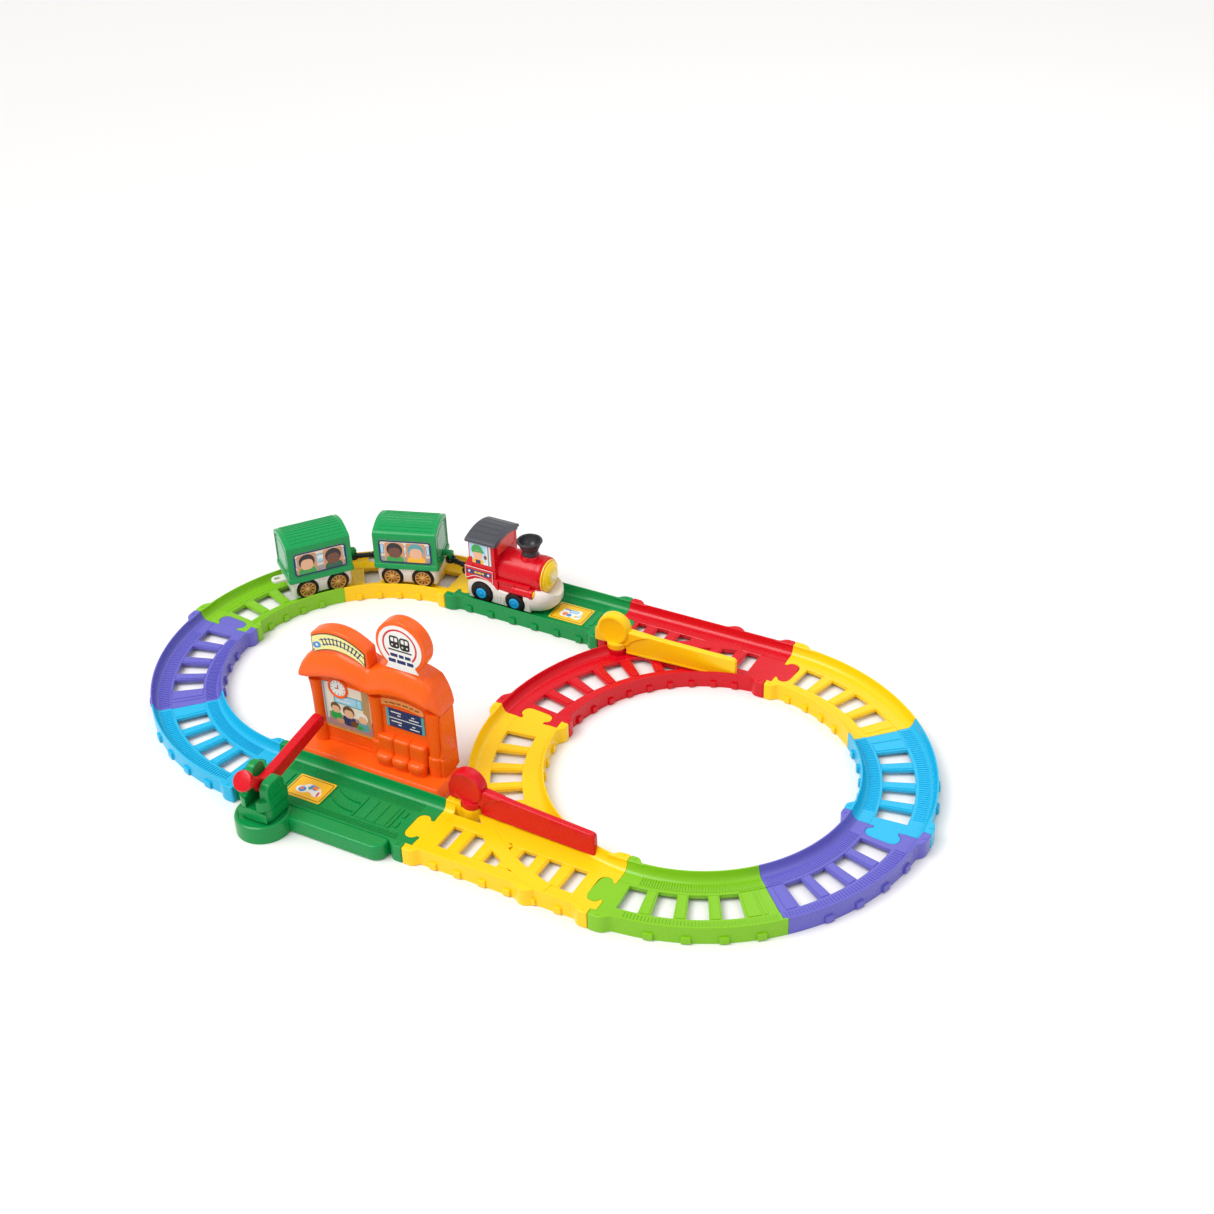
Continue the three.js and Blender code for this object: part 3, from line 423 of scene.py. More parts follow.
def carved(shape, *cutters):
    """Cuts solids out of a solid."""
    holders = []
    for solid in (shape, *cutters):
        mesh = bpy.data.meshes.new("solid")
        solid.to_mesh(mesh)
        solid.free()
        holder = bpy.data.objects.new("solid", mesh)
        bpy.context.scene.collection.objects.link(holder)
        holders.append(holder)
    for cutter in holders[1:]:
        cut = holders[0].modifiers.new("cut", "BOOLEAN")
        cut.operation, cut.solver, cut.object = "DIFFERENCE", "EXACT", cutter
    made = bpy.data.meshes.new_from_object(holders[0].evaluated_get(bpy.context.evaluated_depsgraph_get()))
    result = bmesh.new()
    result.from_mesh(made)
    for holder in holders:
        mesh = holder.data
        bpy.data.objects.remove(holder)
        bpy.data.meshes.remove(mesh)
    bpy.data.meshes.remove(made)
    return result


def ribbon(points, width, low, high, axis="z"):
    """A closed line of even width along an outline, extruded a little. Points run anticlockwise."""
    inner = []
    for i, (x, y) in enumerate(points):
        before, after = Vector(points[i - 1]), Vector(points[(i + 1) % len(points)])
        along = (after - before).normalized()
        inner.append((x - along.y * width, y + along.x * width))
    shape = bmesh.new()
    place = AXES[axis]
    loops = [[shape.verts.new(place(a, b, depth)) for a, b in ring] for ring, depth in
             ((points, low), (points, high), (inner, high), (inner, low))]
    for first, second in zip(loops, loops[1:] + loops[:1]):
        for k in range(len(points)):
            n = (k + 1) % len(points)
            shape.faces.new([first[k], first[n], second[n], second[k]])
    bmesh.ops.recalc_face_normals(shape, faces=shape.faces)
    return shape


class Piece:
    """One moulded part, gathered from solids in millimetres and finished as a mesh in the row frame."""

    def __init__(self, name, *materials):
        self.name = name
        self.materials = materials
        self.mesh = bpy.data.meshes.new(name)
        self.gathered = bmesh.new()

    def add(self, *shapes, material=0):
        for shape in shapes:
            for face in shape.faces:
                face.material_index = material
            step = bpy.data.meshes.new("step")
            shape.to_mesh(step)
            self.gathered.from_mesh(step)
            bpy.data.meshes.remove(step)
            shape.free()

    def move(self, matrix):
        """Moves everything gathered so far."""
        moved(self.gathered, matrix)

    def bend(self, centre_x, start):
        """Wraps everything gathered so far round a curve."""
        bent(self.gathered, centre_x, start)

    def finish(self, body, nodes=(), slot=None, angle=32.0):
        for v in self.gathered.verts:
            v.co = (v.co.x / 1000, (v.co.y + SHIFT) / 1000, v.co.z / 1000)
        self.gathered.to_mesh(self.mesh)
        self.gathered.free()
        for material in self.materials:
            self.mesh.materials.append(material)
        self.mesh.polygons.foreach_set("use_smooth", [True] * len(self.mesh.polygons))
        self.mesh.set_sharp_from_angle(angle=math.radians(angle))
        made = bpy.data.objects.new(self.name, self.mesh)
        bpy.context.scene.collection.objects.link(made)
        even = made.modifiers.new("even shading", "WEIGHTED_NORMAL")
        even.keep_sharp = True
        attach(made, body)
        if nodes:
            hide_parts(*nodes)


# ---- repeats ----
def copies_tree(ring):
    """Copies of one small solid, along a line or round a ring about Z, joined into one mesh."""
    tree = bpy.data.node_groups.new("RingOfCopies" if ring else "RowOfCopies", "GeometryNodeTree")
    sockets = [("Solid", "NodeSocketGeometry"), ("Count", "NodeSocketInt"), ("Finish", "NodeSocketMaterial")]
    sockets += [("Ring radius", "NodeSocketFloat")] if ring else [
        ("First place", "NodeSocketVector"), ("Step", "NodeSocketVector")]
    for label, kind in sockets:
        tree.interface.new_socket(label, in_out="INPUT", socket_type=kind)
    tree.interface.new_socket("Copies", in_out="OUTPUT", socket_type="NodeSocketGeometry")
    start, end = tree.nodes.new("NodeGroupInput"), tree.nodes.new("NodeGroupOutput")
    put = node(tree, "GeometryNodeInstanceOnPoints")
    if ring:
        points = node(tree, "GeometryNodeMeshCircle")
        tree.links.new(start.outputs["Count"], points.inputs["Vertices"])
        tree.links.new(start.outputs["Ring radius"], points.inputs["Radius"])
        index = node(tree, "GeometryNodeInputIndex")
        share = math_node(tree, "DIVIDE", index.outputs[0], start.outputs["Count"])
        turn = node(tree, "ShaderNodeCombineXYZ")
        tree.links.new(math_node(tree, "MULTIPLY", share, 2 * math.pi), turn.inputs["Z"])
        tree.links.new(turn.outputs[0], put.inputs["Rotation"])
    else:
        points = node(tree, "GeometryNodeMeshLine", mode="OFFSET")
        tree.links.new(start.outputs["Count"], points.inputs["Count"])
        tree.links.new(start.outputs["First place"], points.inputs["Start Location"])
        tree.links.new(start.outputs["Step"], points.inputs["Offset"])
    tree.links.new(points.outputs["Mesh"], put.inputs["Points"])
    tree.links.new(start.outputs["Solid"], put.inputs["Instance"])
    joined = node(tree, "GeometryNodeRealizeInstances")
    finish = node(tree, "GeometryNodeSetMaterial")
    tree.links.new(put.outputs[0], joined.inputs[0])
    tree.links.new(joined.outputs[0], finish.inputs["Geometry"])
    tree.links.new(start.outputs["Finish"], finish.inputs["Material"])
    tree.links.new(finish.outputs[0], end.inputs["Copies"])
    return tree


ROW, RING = copies_tree(False), copies_tree(True)


def copied(shape, tree, finish, **inputs):
    """Runs one of the trees above on a small solid, and returns the copies as one solid."""
    mesh = bpy.data.meshes.new("one")
    shape.to_mesh(mesh)
    shape.free()
    holder = bpy.data.objects.new("one", mesh)
    bpy.context.scene.collection.objects.link(holder)
    modifier = holder.modifiers.new("copies", "NODES")
    modifier.node_group = tree
    named = {item.name: item.identifier for item in tree.interface.items_tree if item.in_out == "INPUT"}
    for label, value in {**inputs, "Finish": finish}.items():
        modifier[named[label.replace("_", " ")]] = value
    made = bpy.data.meshes.new_from_object(holder.evaluated_get(bpy.context.evaluated_depsgraph_get()))
    result = bmesh.new()
    result.from_mesh(made)
    holder.modifiers.clear()
    bpy.data.objects.remove(holder)
    bpy.data.meshes.remove(mesh)
    bpy.data.meshes.remove(made)
    return result


def row(shape, first, step, count, finish):
    return copied(shape, ROW, finish, Count=count, First_place=first, Step=step)


def ring(shape, radius, count, finish):
    return copied(shape, RING, finish, Count=count, Ring_radius=radius)


# ---- track: drawn flat, s along X and u across, then bent or moved into place ----
def rail_section(side):
    half = [(STRIP_EDGE, DECK_BOTTOM), (39.5, DECK_BOTTOM), (39.5, 0), (43.5, 0), (43.5, 21.4),
            (43.1, WALL_TOP), (41.9, WALL_TOP), (41.4, 21.4), (40.3, 17.0), (38.6, 13.6), (36.8, 11.3),
            (34.5, 10.2), (33.5, DECK_TOP), (STRIP_EDGE, DECK_TOP)]
    return half if side > 0 else [(-u, h) for u, h in half]


def tongue_points(joint, way, clear=0.0):
    """Outline of a jigsaw tongue that points along X from a joint, open at the joint."""
    neck, head, tip = 14.5 + clear, 19.9 + clear, 20.0 + clear
    half = curve_points((4 - clear, neck), (6 - clear, head, 11, head), (tip, head, tip, head * 0.45),
                        steps=7)
    far = [(x, -y) for x, y in reversed(half)]
    return [(joint + way * x, y) for x, y in [(0, neck + 0.01), *half, *far, (0, -neck - 0.01)]]


def ears(joint, way, sides=(1, -1)):
    """Rounded swellings of the walls beside a jigsaw joint, with dimples. The piece lies away from way."""
    made = []
    for side in sides:
        half = curve_points((-0.2, 40.8), (-0.2, 49.2), (-0.4, 51.0, -3, 51.0), (-9, 51.0),
                            (-14, 50.6, -17, 46.5), (-19, 43.4, -25, 43.2), (-25, 40.8))
        made.append(prism([(joint + way * x, side * u) for x, u in half], 0.0, WALL_TOP - 0.1, soft=1.6,
                          steps=3))
        dimple = [(0, 0), (2.2, 0), (1.8, 0.9), (0, 1.1)]
        made.append(turned(dimple, (joint - way * 8, side * 46.5, WALL_TOP - 0.3), sides=14))
    return made


def end_slab(length_in, joint, way, kind):
    """Solid deck at the end of a piece, from length_in inside it to the joint, with a tongue or a socket."""
    half = STRIP_EDGE + 1.6
    back = joint - way * length_in
    edge = joint - way * 0.2
    ends = [(back, half), (edge, half)], [(edge, -half), (back, -half)]
    if kind == "plain":
        return prism(ends[0] + ends[1], DECK_BOTTOM, 9.2, soft=0.25)
    jigsaw = tongue_points(joint, way) if kind == "tongue" else tongue_points(joint, -way, 0.35)
    jigsaw[0], jigsaw[-1] = (edge, jigsaw[0][1]), (edge, jigsaw[-1][1])
    return prism(ends[0] + jigsaw + ends[1], DECK_BOTTOM, 9.6 if kind == "tongue" else 9.8, soft=0.3)


def sleeper(s0, s1):
    """A crossbar with a raised flat top."""
    half = STRIP_EDGE + 0.1
    return [block(s0, s1, -half, half, DECK_BOTTOM, 9.3, soft=0.5),
            block(s0 + 1.6, s1 - 1.6, -WINDOW_HALF + 0.6, WINDOW_HALF - 0.6, 8, 10.3, soft=0.8)]


def lips(s0, s1):
    """Narrow edges of the strips beside the windows."""
    shapes = []
    for side in (1, -1):
        section = [(side * u, h) for u, h in [(WINDOW_HALF, DECK_BOTTOM), (STRIP_EDGE + 0.2, DECK_BOTTOM),
                                              (STRIP_EDGE + 0.2, 9.9), (WINDOW_HALF + 0.5, 9.9),
                                              (WINDOW_HALF, 9.4)]]
        shapes.append(sweep(section, stations(s0, s1)))
    return shapes


WALL_SIDE = 43.0  # centreline to the lugs' middle, close to the wall's outer face


def lugs(side, first, count, pitch, finish):
    lug = block(-4.6, 4.6, -3.4, 3.4, 0.6, 9.4, soft=1.2)
    return row(lug, (first, side * WALL_SIDE, 0), (pitch, 0, 0), count, finish)


def ribs(side, s0, s1, finish, height, inner=22.0, outer=34.6, pitch=3.4):
    section = [(-0.75, 0), (-0.5, height), (0.5, height), (0.75, 0)]
    rib = prism(section, side * inner, side * outer, axis="y", soft=0)
    count = int((s1 - s0) / pitch)
    return row(rib, (s0 + pitch / 2, 0, DECK_TOP - 0.05), (pitch, 0, 0), count, finish)


FAINT = {"yellow": 0.28, "red": 0.3}  # rib height on the colours whose ribs hardly show


def curve_piece(colour, body_name, centre_x, start, tongued):
    """A 45 degree curve. Drawn from its plain or socket end to its tongue or plain end."""
    finish = PLASTIC[colour]
    length = CURVE_LENGTH
    piece = Piece(f"moulded_{body_name}", finish)
    first = 34.0 if tongued else 28.0
    last = first + 4 * 22 + 3 * 13
    for side in (1, -1):
        piece.add(sweep(rail_section(side), stations(0.2, length - 0.2)))
        piece.add(lugs(side, 24 if tongued else 38, 4, 33, finish))
        piece.add(ribs(side, 3 if tongued else 24, length - (24 if tongued else 3), finish,
                       FAINT.get(colour, 1.0)))
    if tongued:
        piece.add(end_slab(first, 0, -1, "plain"), end_slab(length - last, length, 1, "tongue"))
        piece.add(*ears(length, 1))
        piece.add(block(11, 15, -WINDOW_HALF, WINDOW_HALF, 8, 10.0),
                  block(17.5, 31.5, -WINDOW_HALF, WINDOW_HALF, 8, 10.2, soft=0.8))
    else:
        piece.add(end_slab(first, 0, -1, "socket"), end_slab(length - last, length, 1, "plain"))
        piece.add(*ears(0, -1))
        piece.add(block(last + 3, last + 15, -WINDOW_HALF, WINDOW_HALF, 8, 10.1, soft=0.8))
    for k in range(3):
        s0 = first + 22 + 35 * k
        piece.add(*sleeper(s0, s0 + 13))
    piece.add(*lips(first - 1, last + 1))
    piece.bend(centre_x, start)
    piece.finish("root", [body_name], colour)


for colour, from_angle, tongued in [("lime", -90, True), ("purple", -45, False), ("cyan", 0, True),
                                    ("yellow", 45, False)]:
    curve_piece(colour, f"track_curve_right_{colour}", LENGTH, from_angle + 45, tongued)
for colour, from_angle, tongued in [("yellow", 90, True), ("lime", 135, False), ("purple", 180, True),
                                    ("cyan", 225, False)]:
    curve_piece(colour, f"track_curve_left_{colour}", -LENGTH, from_angle + 45, tongued)


def deck_boards(s0, s1, count, finish):
    """A recessed patch of cross planks, as at a crossing."""
    width = (s1 - s0) / count
    plank = block(-width / 2 + 0.5, width / 2 - 0.5, -17.5, 17.5, 8, 10.2, soft=0.5)
    return row(plank, (s0 + width / 2, 0, 0), (width, 0, 0), count, finish)


def curved_ridge(s0, s1, u0, u1, rise):
    """A long low curved ridge on the deck."""
    points = []
    for k in range(13):
        t = k / 12
        points.append((s0 + (s1 - s0) * t, u0 + (u1 - u0) * t * t))
    wide = [(x, y - 1.6 * math.sin(math.pi * (0.08 + 0.84 * k / 12))) for k, (x, y) in enumerate(points)]
    back = [(x, y + 1.6 * math.sin(math.pi * (0.08 + 0.84 * k / 12))) for k, (x, y) in enumerate(points)]
    return prism(wide + back[::-1], 8, DECK_TOP + rise)


def straight_deck(piece, finish):
    """A plain straight piece: walls, ribbed strips, solid deck, socket at 0 and tongue at the end."""
    for side in (1, -1):
        piece.add(sweep(rail_section(side), stations(0.2, LENGTH - 0.2, 60)))
        piece.add(ribs(side, 22, LENGTH - 26, finish, 0.8, 21.8, 34.4, 2.8))
    half = STRIP_EDGE + 0.1
    piece.add(end_slab(30, 0, -1, "socket"), end_slab(24, LENGTH, 1, "tongue"))
    piece.add(block(29, LENGTH - 23, -half, half, DECK_BOTTOM, 9.4, soft=0.3))
    return piece


def back_straight():
    finish = PLASTIC["green"]
    piece = straight_deck(Piece("moulded_track_straight_green", finish), finish)
    piece.add(*ears(0, -1), *ears(LENGTH, 1))
    for side in (1, -1):
        piece.add(lugs(side, 34, 6, 33, finish))
    piece.add(deck_boards(34, 78, 5, finish), deck_boards(84, 134, 6, finish))
    piece.add(block(138, 194, -19.5, 19.5, 8, 10.0, soft=0.5))
    piece.add(block(198, 203, -16, 16, 8, 10.6, soft=0.8), block(206, 208, -12, 12, 8, 10.4))
    piece.move(Matrix.Translation((-LENGTH, RADIUS, 0)))
    piece.finish("root", ["track_straight_green"], "green")


def station_straight():
    """Front straight with the barrier's base and a ledge. Drawn from its socket, then turned half round."""
    finish = PLASTIC["green"]
    piece = straight_deck(Piece("moulded_track_station_green", finish), finish)
    piece.add(*ears(0, -1, (1,)), *ears(LENGTH, 1, (-1,)))
    piece.add(deck_boards(45, 86, 3, finish))
    piece.add(block(88, 90, -18, 18, 8, 10.6, soft=0.5), block(40, 42.5, -18, 18, 8, 10.6, soft=0.5))
    piece.add(curved_ridge(92, 132, 12, -2, 1.6), curved_ridge(92, 132, -4, -18, 1.6))
    piece.add(block(32, 37, -14, -4, 8, 10.8), block(32, 37, 4, 14, 8, 10.8))
    piece.add(block(134, 186, -20, 20, 8, 10.0, soft=0.5))
    piece.add(block(189, 196, -16, 12, 8, 10.9, soft=1.0))
    piece.move(Matrix.Translation((0, -RADIUS, 0)) @ Matrix.Rotation(math.pi, 4, "Z"))
    ledge = curve_points((-146, -266), (-146, -281), (-146, -288, -139, -288), (-36, -288),
                         (-20, -288, -20, -272), (-20, -266), steps=6)
    piece.add(prism(ledge, 0, 20.5, soft=3.2, steps=4))
    foot = [(32.0, 0), (32.0, 18.5), (31.2, 21.0), (29.4, 22.0), (27.4, 21.6), (26.6, 20.4), (0, 20.2),
            (0, 0)]
    piece.add(turned([(0, 0), *foot[:-1]], (-174, -292, 0), sides=64))
    neck = curve_points((-206, -266), (-205.5, -292), (-142, -292), (-142, -280, -136, -276), (-136, -266))
    piece.add(prism(neck, 0, 20.0, soft=1.6, steps=3))
    piece.finish("root", ["track_station_green"], "green")


back_straight()
station_straight()


LEVER_X, LEVER_Y = 29, 174  # pivot of the back switch's lever, from the oval's middle


def pivot_room(x, y):
    """The clear space above a lever's boss."""
    return turned([(0, WALL_TOP - 4), (13.6, WALL_TOP - 4), (13.6, 40), (0, 40)], (x, y, 0), sides=40)


def switch_piece(colour, name, branch_kind):
    """A straight with a 90 degree branch, drawn for the back of the oval, its narrow end at x = 0."""
    finish = PLASTIC[colour]
    rib_height = FAINT[colour]
    mirrored = colour == "yellow"
    far_kind, near_kind = ("socket", "tongue") if mirrored else ("tongue", "socket")
    branch_length = RADIUS * math.pi / 2
    road = Piece(f"moulded_{name}", finish)
    road.add(sweep(rail_section(1), stations(0.2, LENGTH - 0.2, 60)))
    road.add(carved(sweep(rail_section(-1), stations(0.2, 13, 60)), pivot_room(LEVER_X, LEVER_Y - RADIUS)))
    strip = [(-STRIP_EDGE, DECK_BOTTOM), (-34.6, DECK_BOTTOM), (-34.6, 9.88), (-STRIP_EDGE, 9.88)]
    road.add(sweep(strip, stations(12, LENGTH - 0.2, 60)))
    road.add(end_slab(25, 0, -1, near_kind), end_slab(LENGTH - 195, LENGTH, 1, far_kind))
    for k in range(5):
        road.add(*sleeper(37.5 + 31.5 * k, 52.5 + 31.5 * k))
    road.add(*lips(20, 196))
    road.add(ribs(1, 24, LENGTH - 24, finish, rib_height), ribs(-1, 3, 22, finish, rib_height))
    road.add(lugs(1, 36, 6, 31, finish), *ears(0, -1, (1,)), *ears(LENGTH, 1, (1,)))
    swelling, dimple = ears(0, -1, (-1,))
    road.add(carved(swelling, pivot_room(LEVER_X, LEVER_Y - RADIUS)), dimple)
    bump = curve_points((131, 43), (139, 43.5, 143, 47), (147, 50.5, 152, 50), (158, 49, 163, 43))
    road.add(prism(bump, 0, WALL_TOP - 0.4, soft=1.2, steps=3))
    road.move(Matrix.Translation((0, RADIUS, 0)))

    branch = Piece("branch", finish)
    branch.add(sweep(rail_section(-1), stations(0.2, branch_length - 0.3)))
    outer_end = math.radians(42.5) * RADIUS
    outer_wall = bent(sweep(rail_section(1), stations(0.2, outer_end + 4)), LENGTH, 180)
    low_strip = [(u, h if h < 9 else h + 0.1) for u,
                 h in [(STRIP_EDGE, 5), (36.5, 5), (36.5, 10), (STRIP_EDGE, 10)]]
    branch.add(sweep(low_strip, stations(outer_end, math.radians(58) * RADIUS)))
    band = [(25.3, 4.9), (42.0, 4.9), (42.0, 10.2), (41.6, 10.6), (25.7, 10.6), (25.3, 10.2)]
    branch.add(sweep(band, stations(math.radians(49) * RADIUS, math.radians(76) * RADIUS)))
    branch.add(end_slab(28, 0, -1, branch_kind))
    for k in range(5):
        s0 = 50 + 35 * k
        branch.add(*sleeper(s0, s0 + 13))
    branch.add(*lips(27, 226))
    branch.add(ribs(-1, 26, 330, finish, rib_height), ribs(1, 26, outer_end - 4, finish, rib_height))
    branch.add(lugs(-1, 40, 9, 33, finish), lugs(1, 40, 3, 33, finish), *ears(0, -1))
    branch.bend(LENGTH, 180)
    road.add(branch.gathered)
    road.add(carved(outer_wall, pivot_room(LEVER_X, LEVER_Y)))
    bpy.data.meshes.remove(branch.mesh)

    inner = RADIUS - STRIP_EDGE
    crotch = [(LENGTH + x, y) for x, y in round_points(0, 0, inner + 0.2, 122.7, 110.6, 6)]
    road.add(prism([(106, 192.5), *crotch, (158, 192.5)], DECK_BOTTOM, 9.7, soft=0.2))
    road.add(prism([(57, 176), (128, 176), (142, 192.8), (72, 192.8)], DECK_BOTTOM, 9.5, soft=0.2))
    boss = [(0, 0), (12.4, 0), (12.4, 16.8), (11.6, 18.0), (0, 18.0)]
    road.add(turned(boss, (LEVER_X, LEVER_Y, 0), sides=40))
    road.add(*[moved(shape, Matrix.Translation((0, RADIUS, 0))) for shape in ears(LENGTH, 1, (-1,))])
    if mirrored:
        road.move(MIRROR)
    road.finish("root", [name], colour)


switch_piece("red", "track_switch_red", "socket")
switch_piece("yellow", "track_switch_yellow", "tongue")


# ---- switch levers ----
def lever(colour, name, closed):
    """A long bar with a round dished paddle over its pivot. Drawn about the pivot, bar along X."""
    finish = PLASTIC[colour]
    piece = Piece(f"moulded_{name}", finish)
    bar = curve_points((-27, 23), (8, 23), (14, 23, 14, 14), (14, 11.2), (158, 11.2), (161, 11.2, 161, 14),
                       (161, 35), (161, 39.6, 155, 40.2), (120, 41.2), (60, 43.4), (26, 45.5), (8, 46),
                       (-22, 46), (-27, 46, -27, 40))
    piece.add(prism(bar, -4, 4, axis="y", soft=1.6, steps=3))
    piece.add(prism([(14, 12.5), (157, 12.5), (157, 15.5), (14, 15.5)], -4.6, 4.6, axis="y", soft=0.9))
    block_side = curve_points((-28, 24), (13, 24), (18, 24, 20, 30), (30, 38, 44, 43.2), (20, 45.2),
                              (-22, 45.2), (-28, 45, -28, 39), steps=6)
    piece.add(prism(block_side, -5.6, 5.6, axis="y", soft=1.5, steps=3))
    paddle = [(0, -6.0), (13.0, -6.0), (15.8, -7.2), (18.4, -7.8), (20.4, -7.0), (21.4, -4.6), (21.4, 4.6),
              (20.4, 7.0), (18.4, 7.8), (15.8, 7.2), (13.0, 6.0), (0, 6.0)]
    piece.add(turned(paddle, (-3, 0, 44.6), axis="y", sides=56))
    piece.add(turned([(0, 10.7), (4, 10.7), (4, 18.3), (11.8, 18.3), (12.6, 19.2), (12.6, 25.5), (11.6, 27),
                      (0, 27)], (0, 0, 0), sides=40))
    place = Matrix.Translation((LEVER_X, LEVER_Y, 0)) @ Matrix.Rotation(math.radians(closed), 4, "Z")
    if colour == "red":
        place = MIRROR @ place
    piece.move(place)
    piece.finish(name, [name], colour)


lever("yellow", "switch_lever_yellow", 3.2)
lever("red", "switch_lever_red", 2.2)


# ---- barrier ----
PIN = Vector((-173, -286, 56))


def barrier():
    finish = PLASTIC["green"]
    tower = Piece("moulded_barrier_tower", finish)
    x0, x1 = -193.0, -152.0
    plan = curve_points((x0, -272), (x0, -296), (x0, -310, x0 + 13, -310.5), (x1 - 13, -310.5),
                        (x1, -310, x1, -296), (x1, -272), (x1, -270, x1 - 2, -270), (x0 + 2, -270),
                        (x0, -270, x0, -272), steps=6)
    tower.add(prism(plan, 22.3, 37.8, soft=0.8))
    a, b = PIN.x - 8.2, PIN.x + 8.2  # the slot for the arm
    left_cheek = curve_points((a, -310.4), (x0 + 13, -310.5), (x0, -310, x0, -296), (x0, -270), (a, -270),
                              steps=6)
    right_cheek = curve_points((b, -310.4), (b, -270), (x1, -270), (x1, -296), (x1, -310, x1 - 13, -310.5),
                               steps=6)
    tower.add(*[prism(cheek, 36.5, 50.4, soft=0.7) for cheek in (left_cheek, right_cheek)])
    right = curve_points((-304, 48), (-303.5, 62), (-301, 70.5, -291, 70.5), (-283, 70.5),
                         (-272.5, 70, -271.5, 56), (-271.5, 48), steps=6)
    tower.add(prism(right, PIN.x + 8.4, x1 - 0.6, axis="x", soft=2.2, steps=3))
    left = curve_points((-303, 48), (-302.5, 60), (-300, 66, -294, 66), (-290, 66), (-289, 78.5, -279, 78.5),
                        (-267.5, 78.5, -267, 62), (-267, 48), steps=6)
    tower.add(prism(left, x0 + 0.6, PIN.x - 8.4, axis="x", soft=2.0, steps=3))
    tower.add(block(x0 + 1, x1 - 1, -310.9, -309.5, 24, 36, soft=0.5))
    tower.finish("root", ["barrier_tower"], "green")

    arm = Piece("moulded_barrier_arm", PLASTIC["red"])
    y, z = PIN.y, PIN.z
    bar = curve_points((y - 5, z - 9), (y + 6, z - 9.5), (y + 108, z + 8.5),
                       (y + 114, z + 10, y + 114, z + 16), (y + 113, z + 23, y + 107, z + 23.5),
                       (y + 6, z + 9), (y + 1, z + 8.6, y - 4, z + 12), (y - 20, z + 27), (y - 27, z + 20),
                       (y - 12, z + 3), (y - 9, z - 4))
    arm.add(prism(bar, PIN.x - 6, PIN.x + 6, axis="x", soft=1.8, steps=3))
    arm.add(turned([(0, -7.3), (6.5, -7.3), (7.3, -6.6), (7.3, 6.6), (6.5, 7.3), (0, 7.3)], PIN, axis="x",
                   sides=32))
    pad = turned([(0, -4.0), (9.5, -4.0), (11.4, -3.2), (12.2, -1.2), (12.2, 1.2), (11.4, 3.2), (9.5, 4.0),
                  (0, 4.4)], (0, 0, 0), axis="y", sides=44)
    tilt = Matrix.Translation((PIN.x, y - 28.5, z + 25)) @ Matrix.Rotation(math.radians(-40), 4, "X")
    arm.add(moved(pad, tilt))
    arm.finish("barrier_arm", ["barrier_arm"], "red")


barrier()


# ---- track plates ----
def track_plates():
    back = [("white", 0, 3, 14, 5, 5, 8), ("white", -6, -4, 9, 6, 6), ("white", 8, -5, 8, 5, 5, -15),
            ("sky", 2, 4, 6, 3, 1), disc("orange", -7, -4, 4), disc("blue", -1, -5, 3.4),
            ("blue", -8, 6, 4, 1.2, 0.4), disc("gold", 9, -5, 2.6), ("sky", 13, -3, 2, 3.5, 1.5),
            ("navy", 2, 4, 6, 3, 1, 0, 0.6)]
    front = [("white", -8, -4, 8, 5.5, 5.5), ("white", 3, 0, 12, 6, 6, -12), ("white", 12, -5, 6, 5, 5),
             disc("blue", -8, -4, 4.6), ("blue", 4, 3, 6, 3.6, 3, -10), disc("orange", -9, -3, 2.2),
             ("orange", 5, 3, 3, 2.4, 1), ("red", 14, -5, 1.2, 4, 0.5, 10), ("leaf", -1, 0, 3, 1, 1, -40),
             disc("gold", 9, 2, 1.8)]
    for name, x0, x1, y0, y1, spots in (("back", -89, -39, 203, 241, back),
                                        ("front", -183, -133, -245, -207, front)):
        cx, cy = (x0 + x1) / 2, (y0 + y1) / 2
        frame_line = ("black", 0, 0, (x1 - x0) / 2 - 2.2, 16.2, 2.5, 0, 0.9)
        label = printed(f"plate_{name}_print", (0.90, 0.50, 0.010), [frame_line, *spots], (cx, cy, 0),
                        up=(0, 1, 0), gloss=0.3)
        plate = Piece(f"moulded_track_plate_{name}", label, PLASTIC["green"])
        plate.add(prism(rounded_rectangle(x0, x1, y0, y1, 2.0), 9.4, 11.0, soft=0.25))
        plate.add(prism(rounded_rectangle(x0 - 1.3, x1 + 1.3, y0 - 1.0, y1 + 1.0, 2.6), 9.0, 10.45,
                        soft=0.3), material=1)
        plate.finish("root", [f"track_plate_{name}"], "label")


track_plates()


# ---- station ----
FACADE = -150.0
FLOOR = 22.0
CLOCK_X, CLOCK_Z = -160, 103.5
SIGN_X, SIGN_Z = -66.0, 188.0  # centre of the round sign


def station_base():
    base = Piece("moulded_station_base", PLASTIC["orange"])
    base.add(stacked(-213, -11, -181.5, -123.5, 9, [(0.6, 0), (0, 0.8), (0, 13.5), (0.5, 15), (5.2, 21.2),
                                                    (6.2, FLOOR)]))
    base.add(stacked(-206.2, -17.8, -174.8, -130, 5, [(0, 20.5), (0, FLOOR + 0.25), (0.5, FLOOR + 0.5)]))
    base.finish("root", ["station_base"], "orange")


def height_on_line(points, x):
    """Height at x of a broken line through points."""
    for (xa, za), (xb, zb) in zip(points, points[1:]):
        if xa <= x <= xb:
            t = (x - xa) / (xb - xa)
            return za + (zb - za) * t
    return points[-1][1]


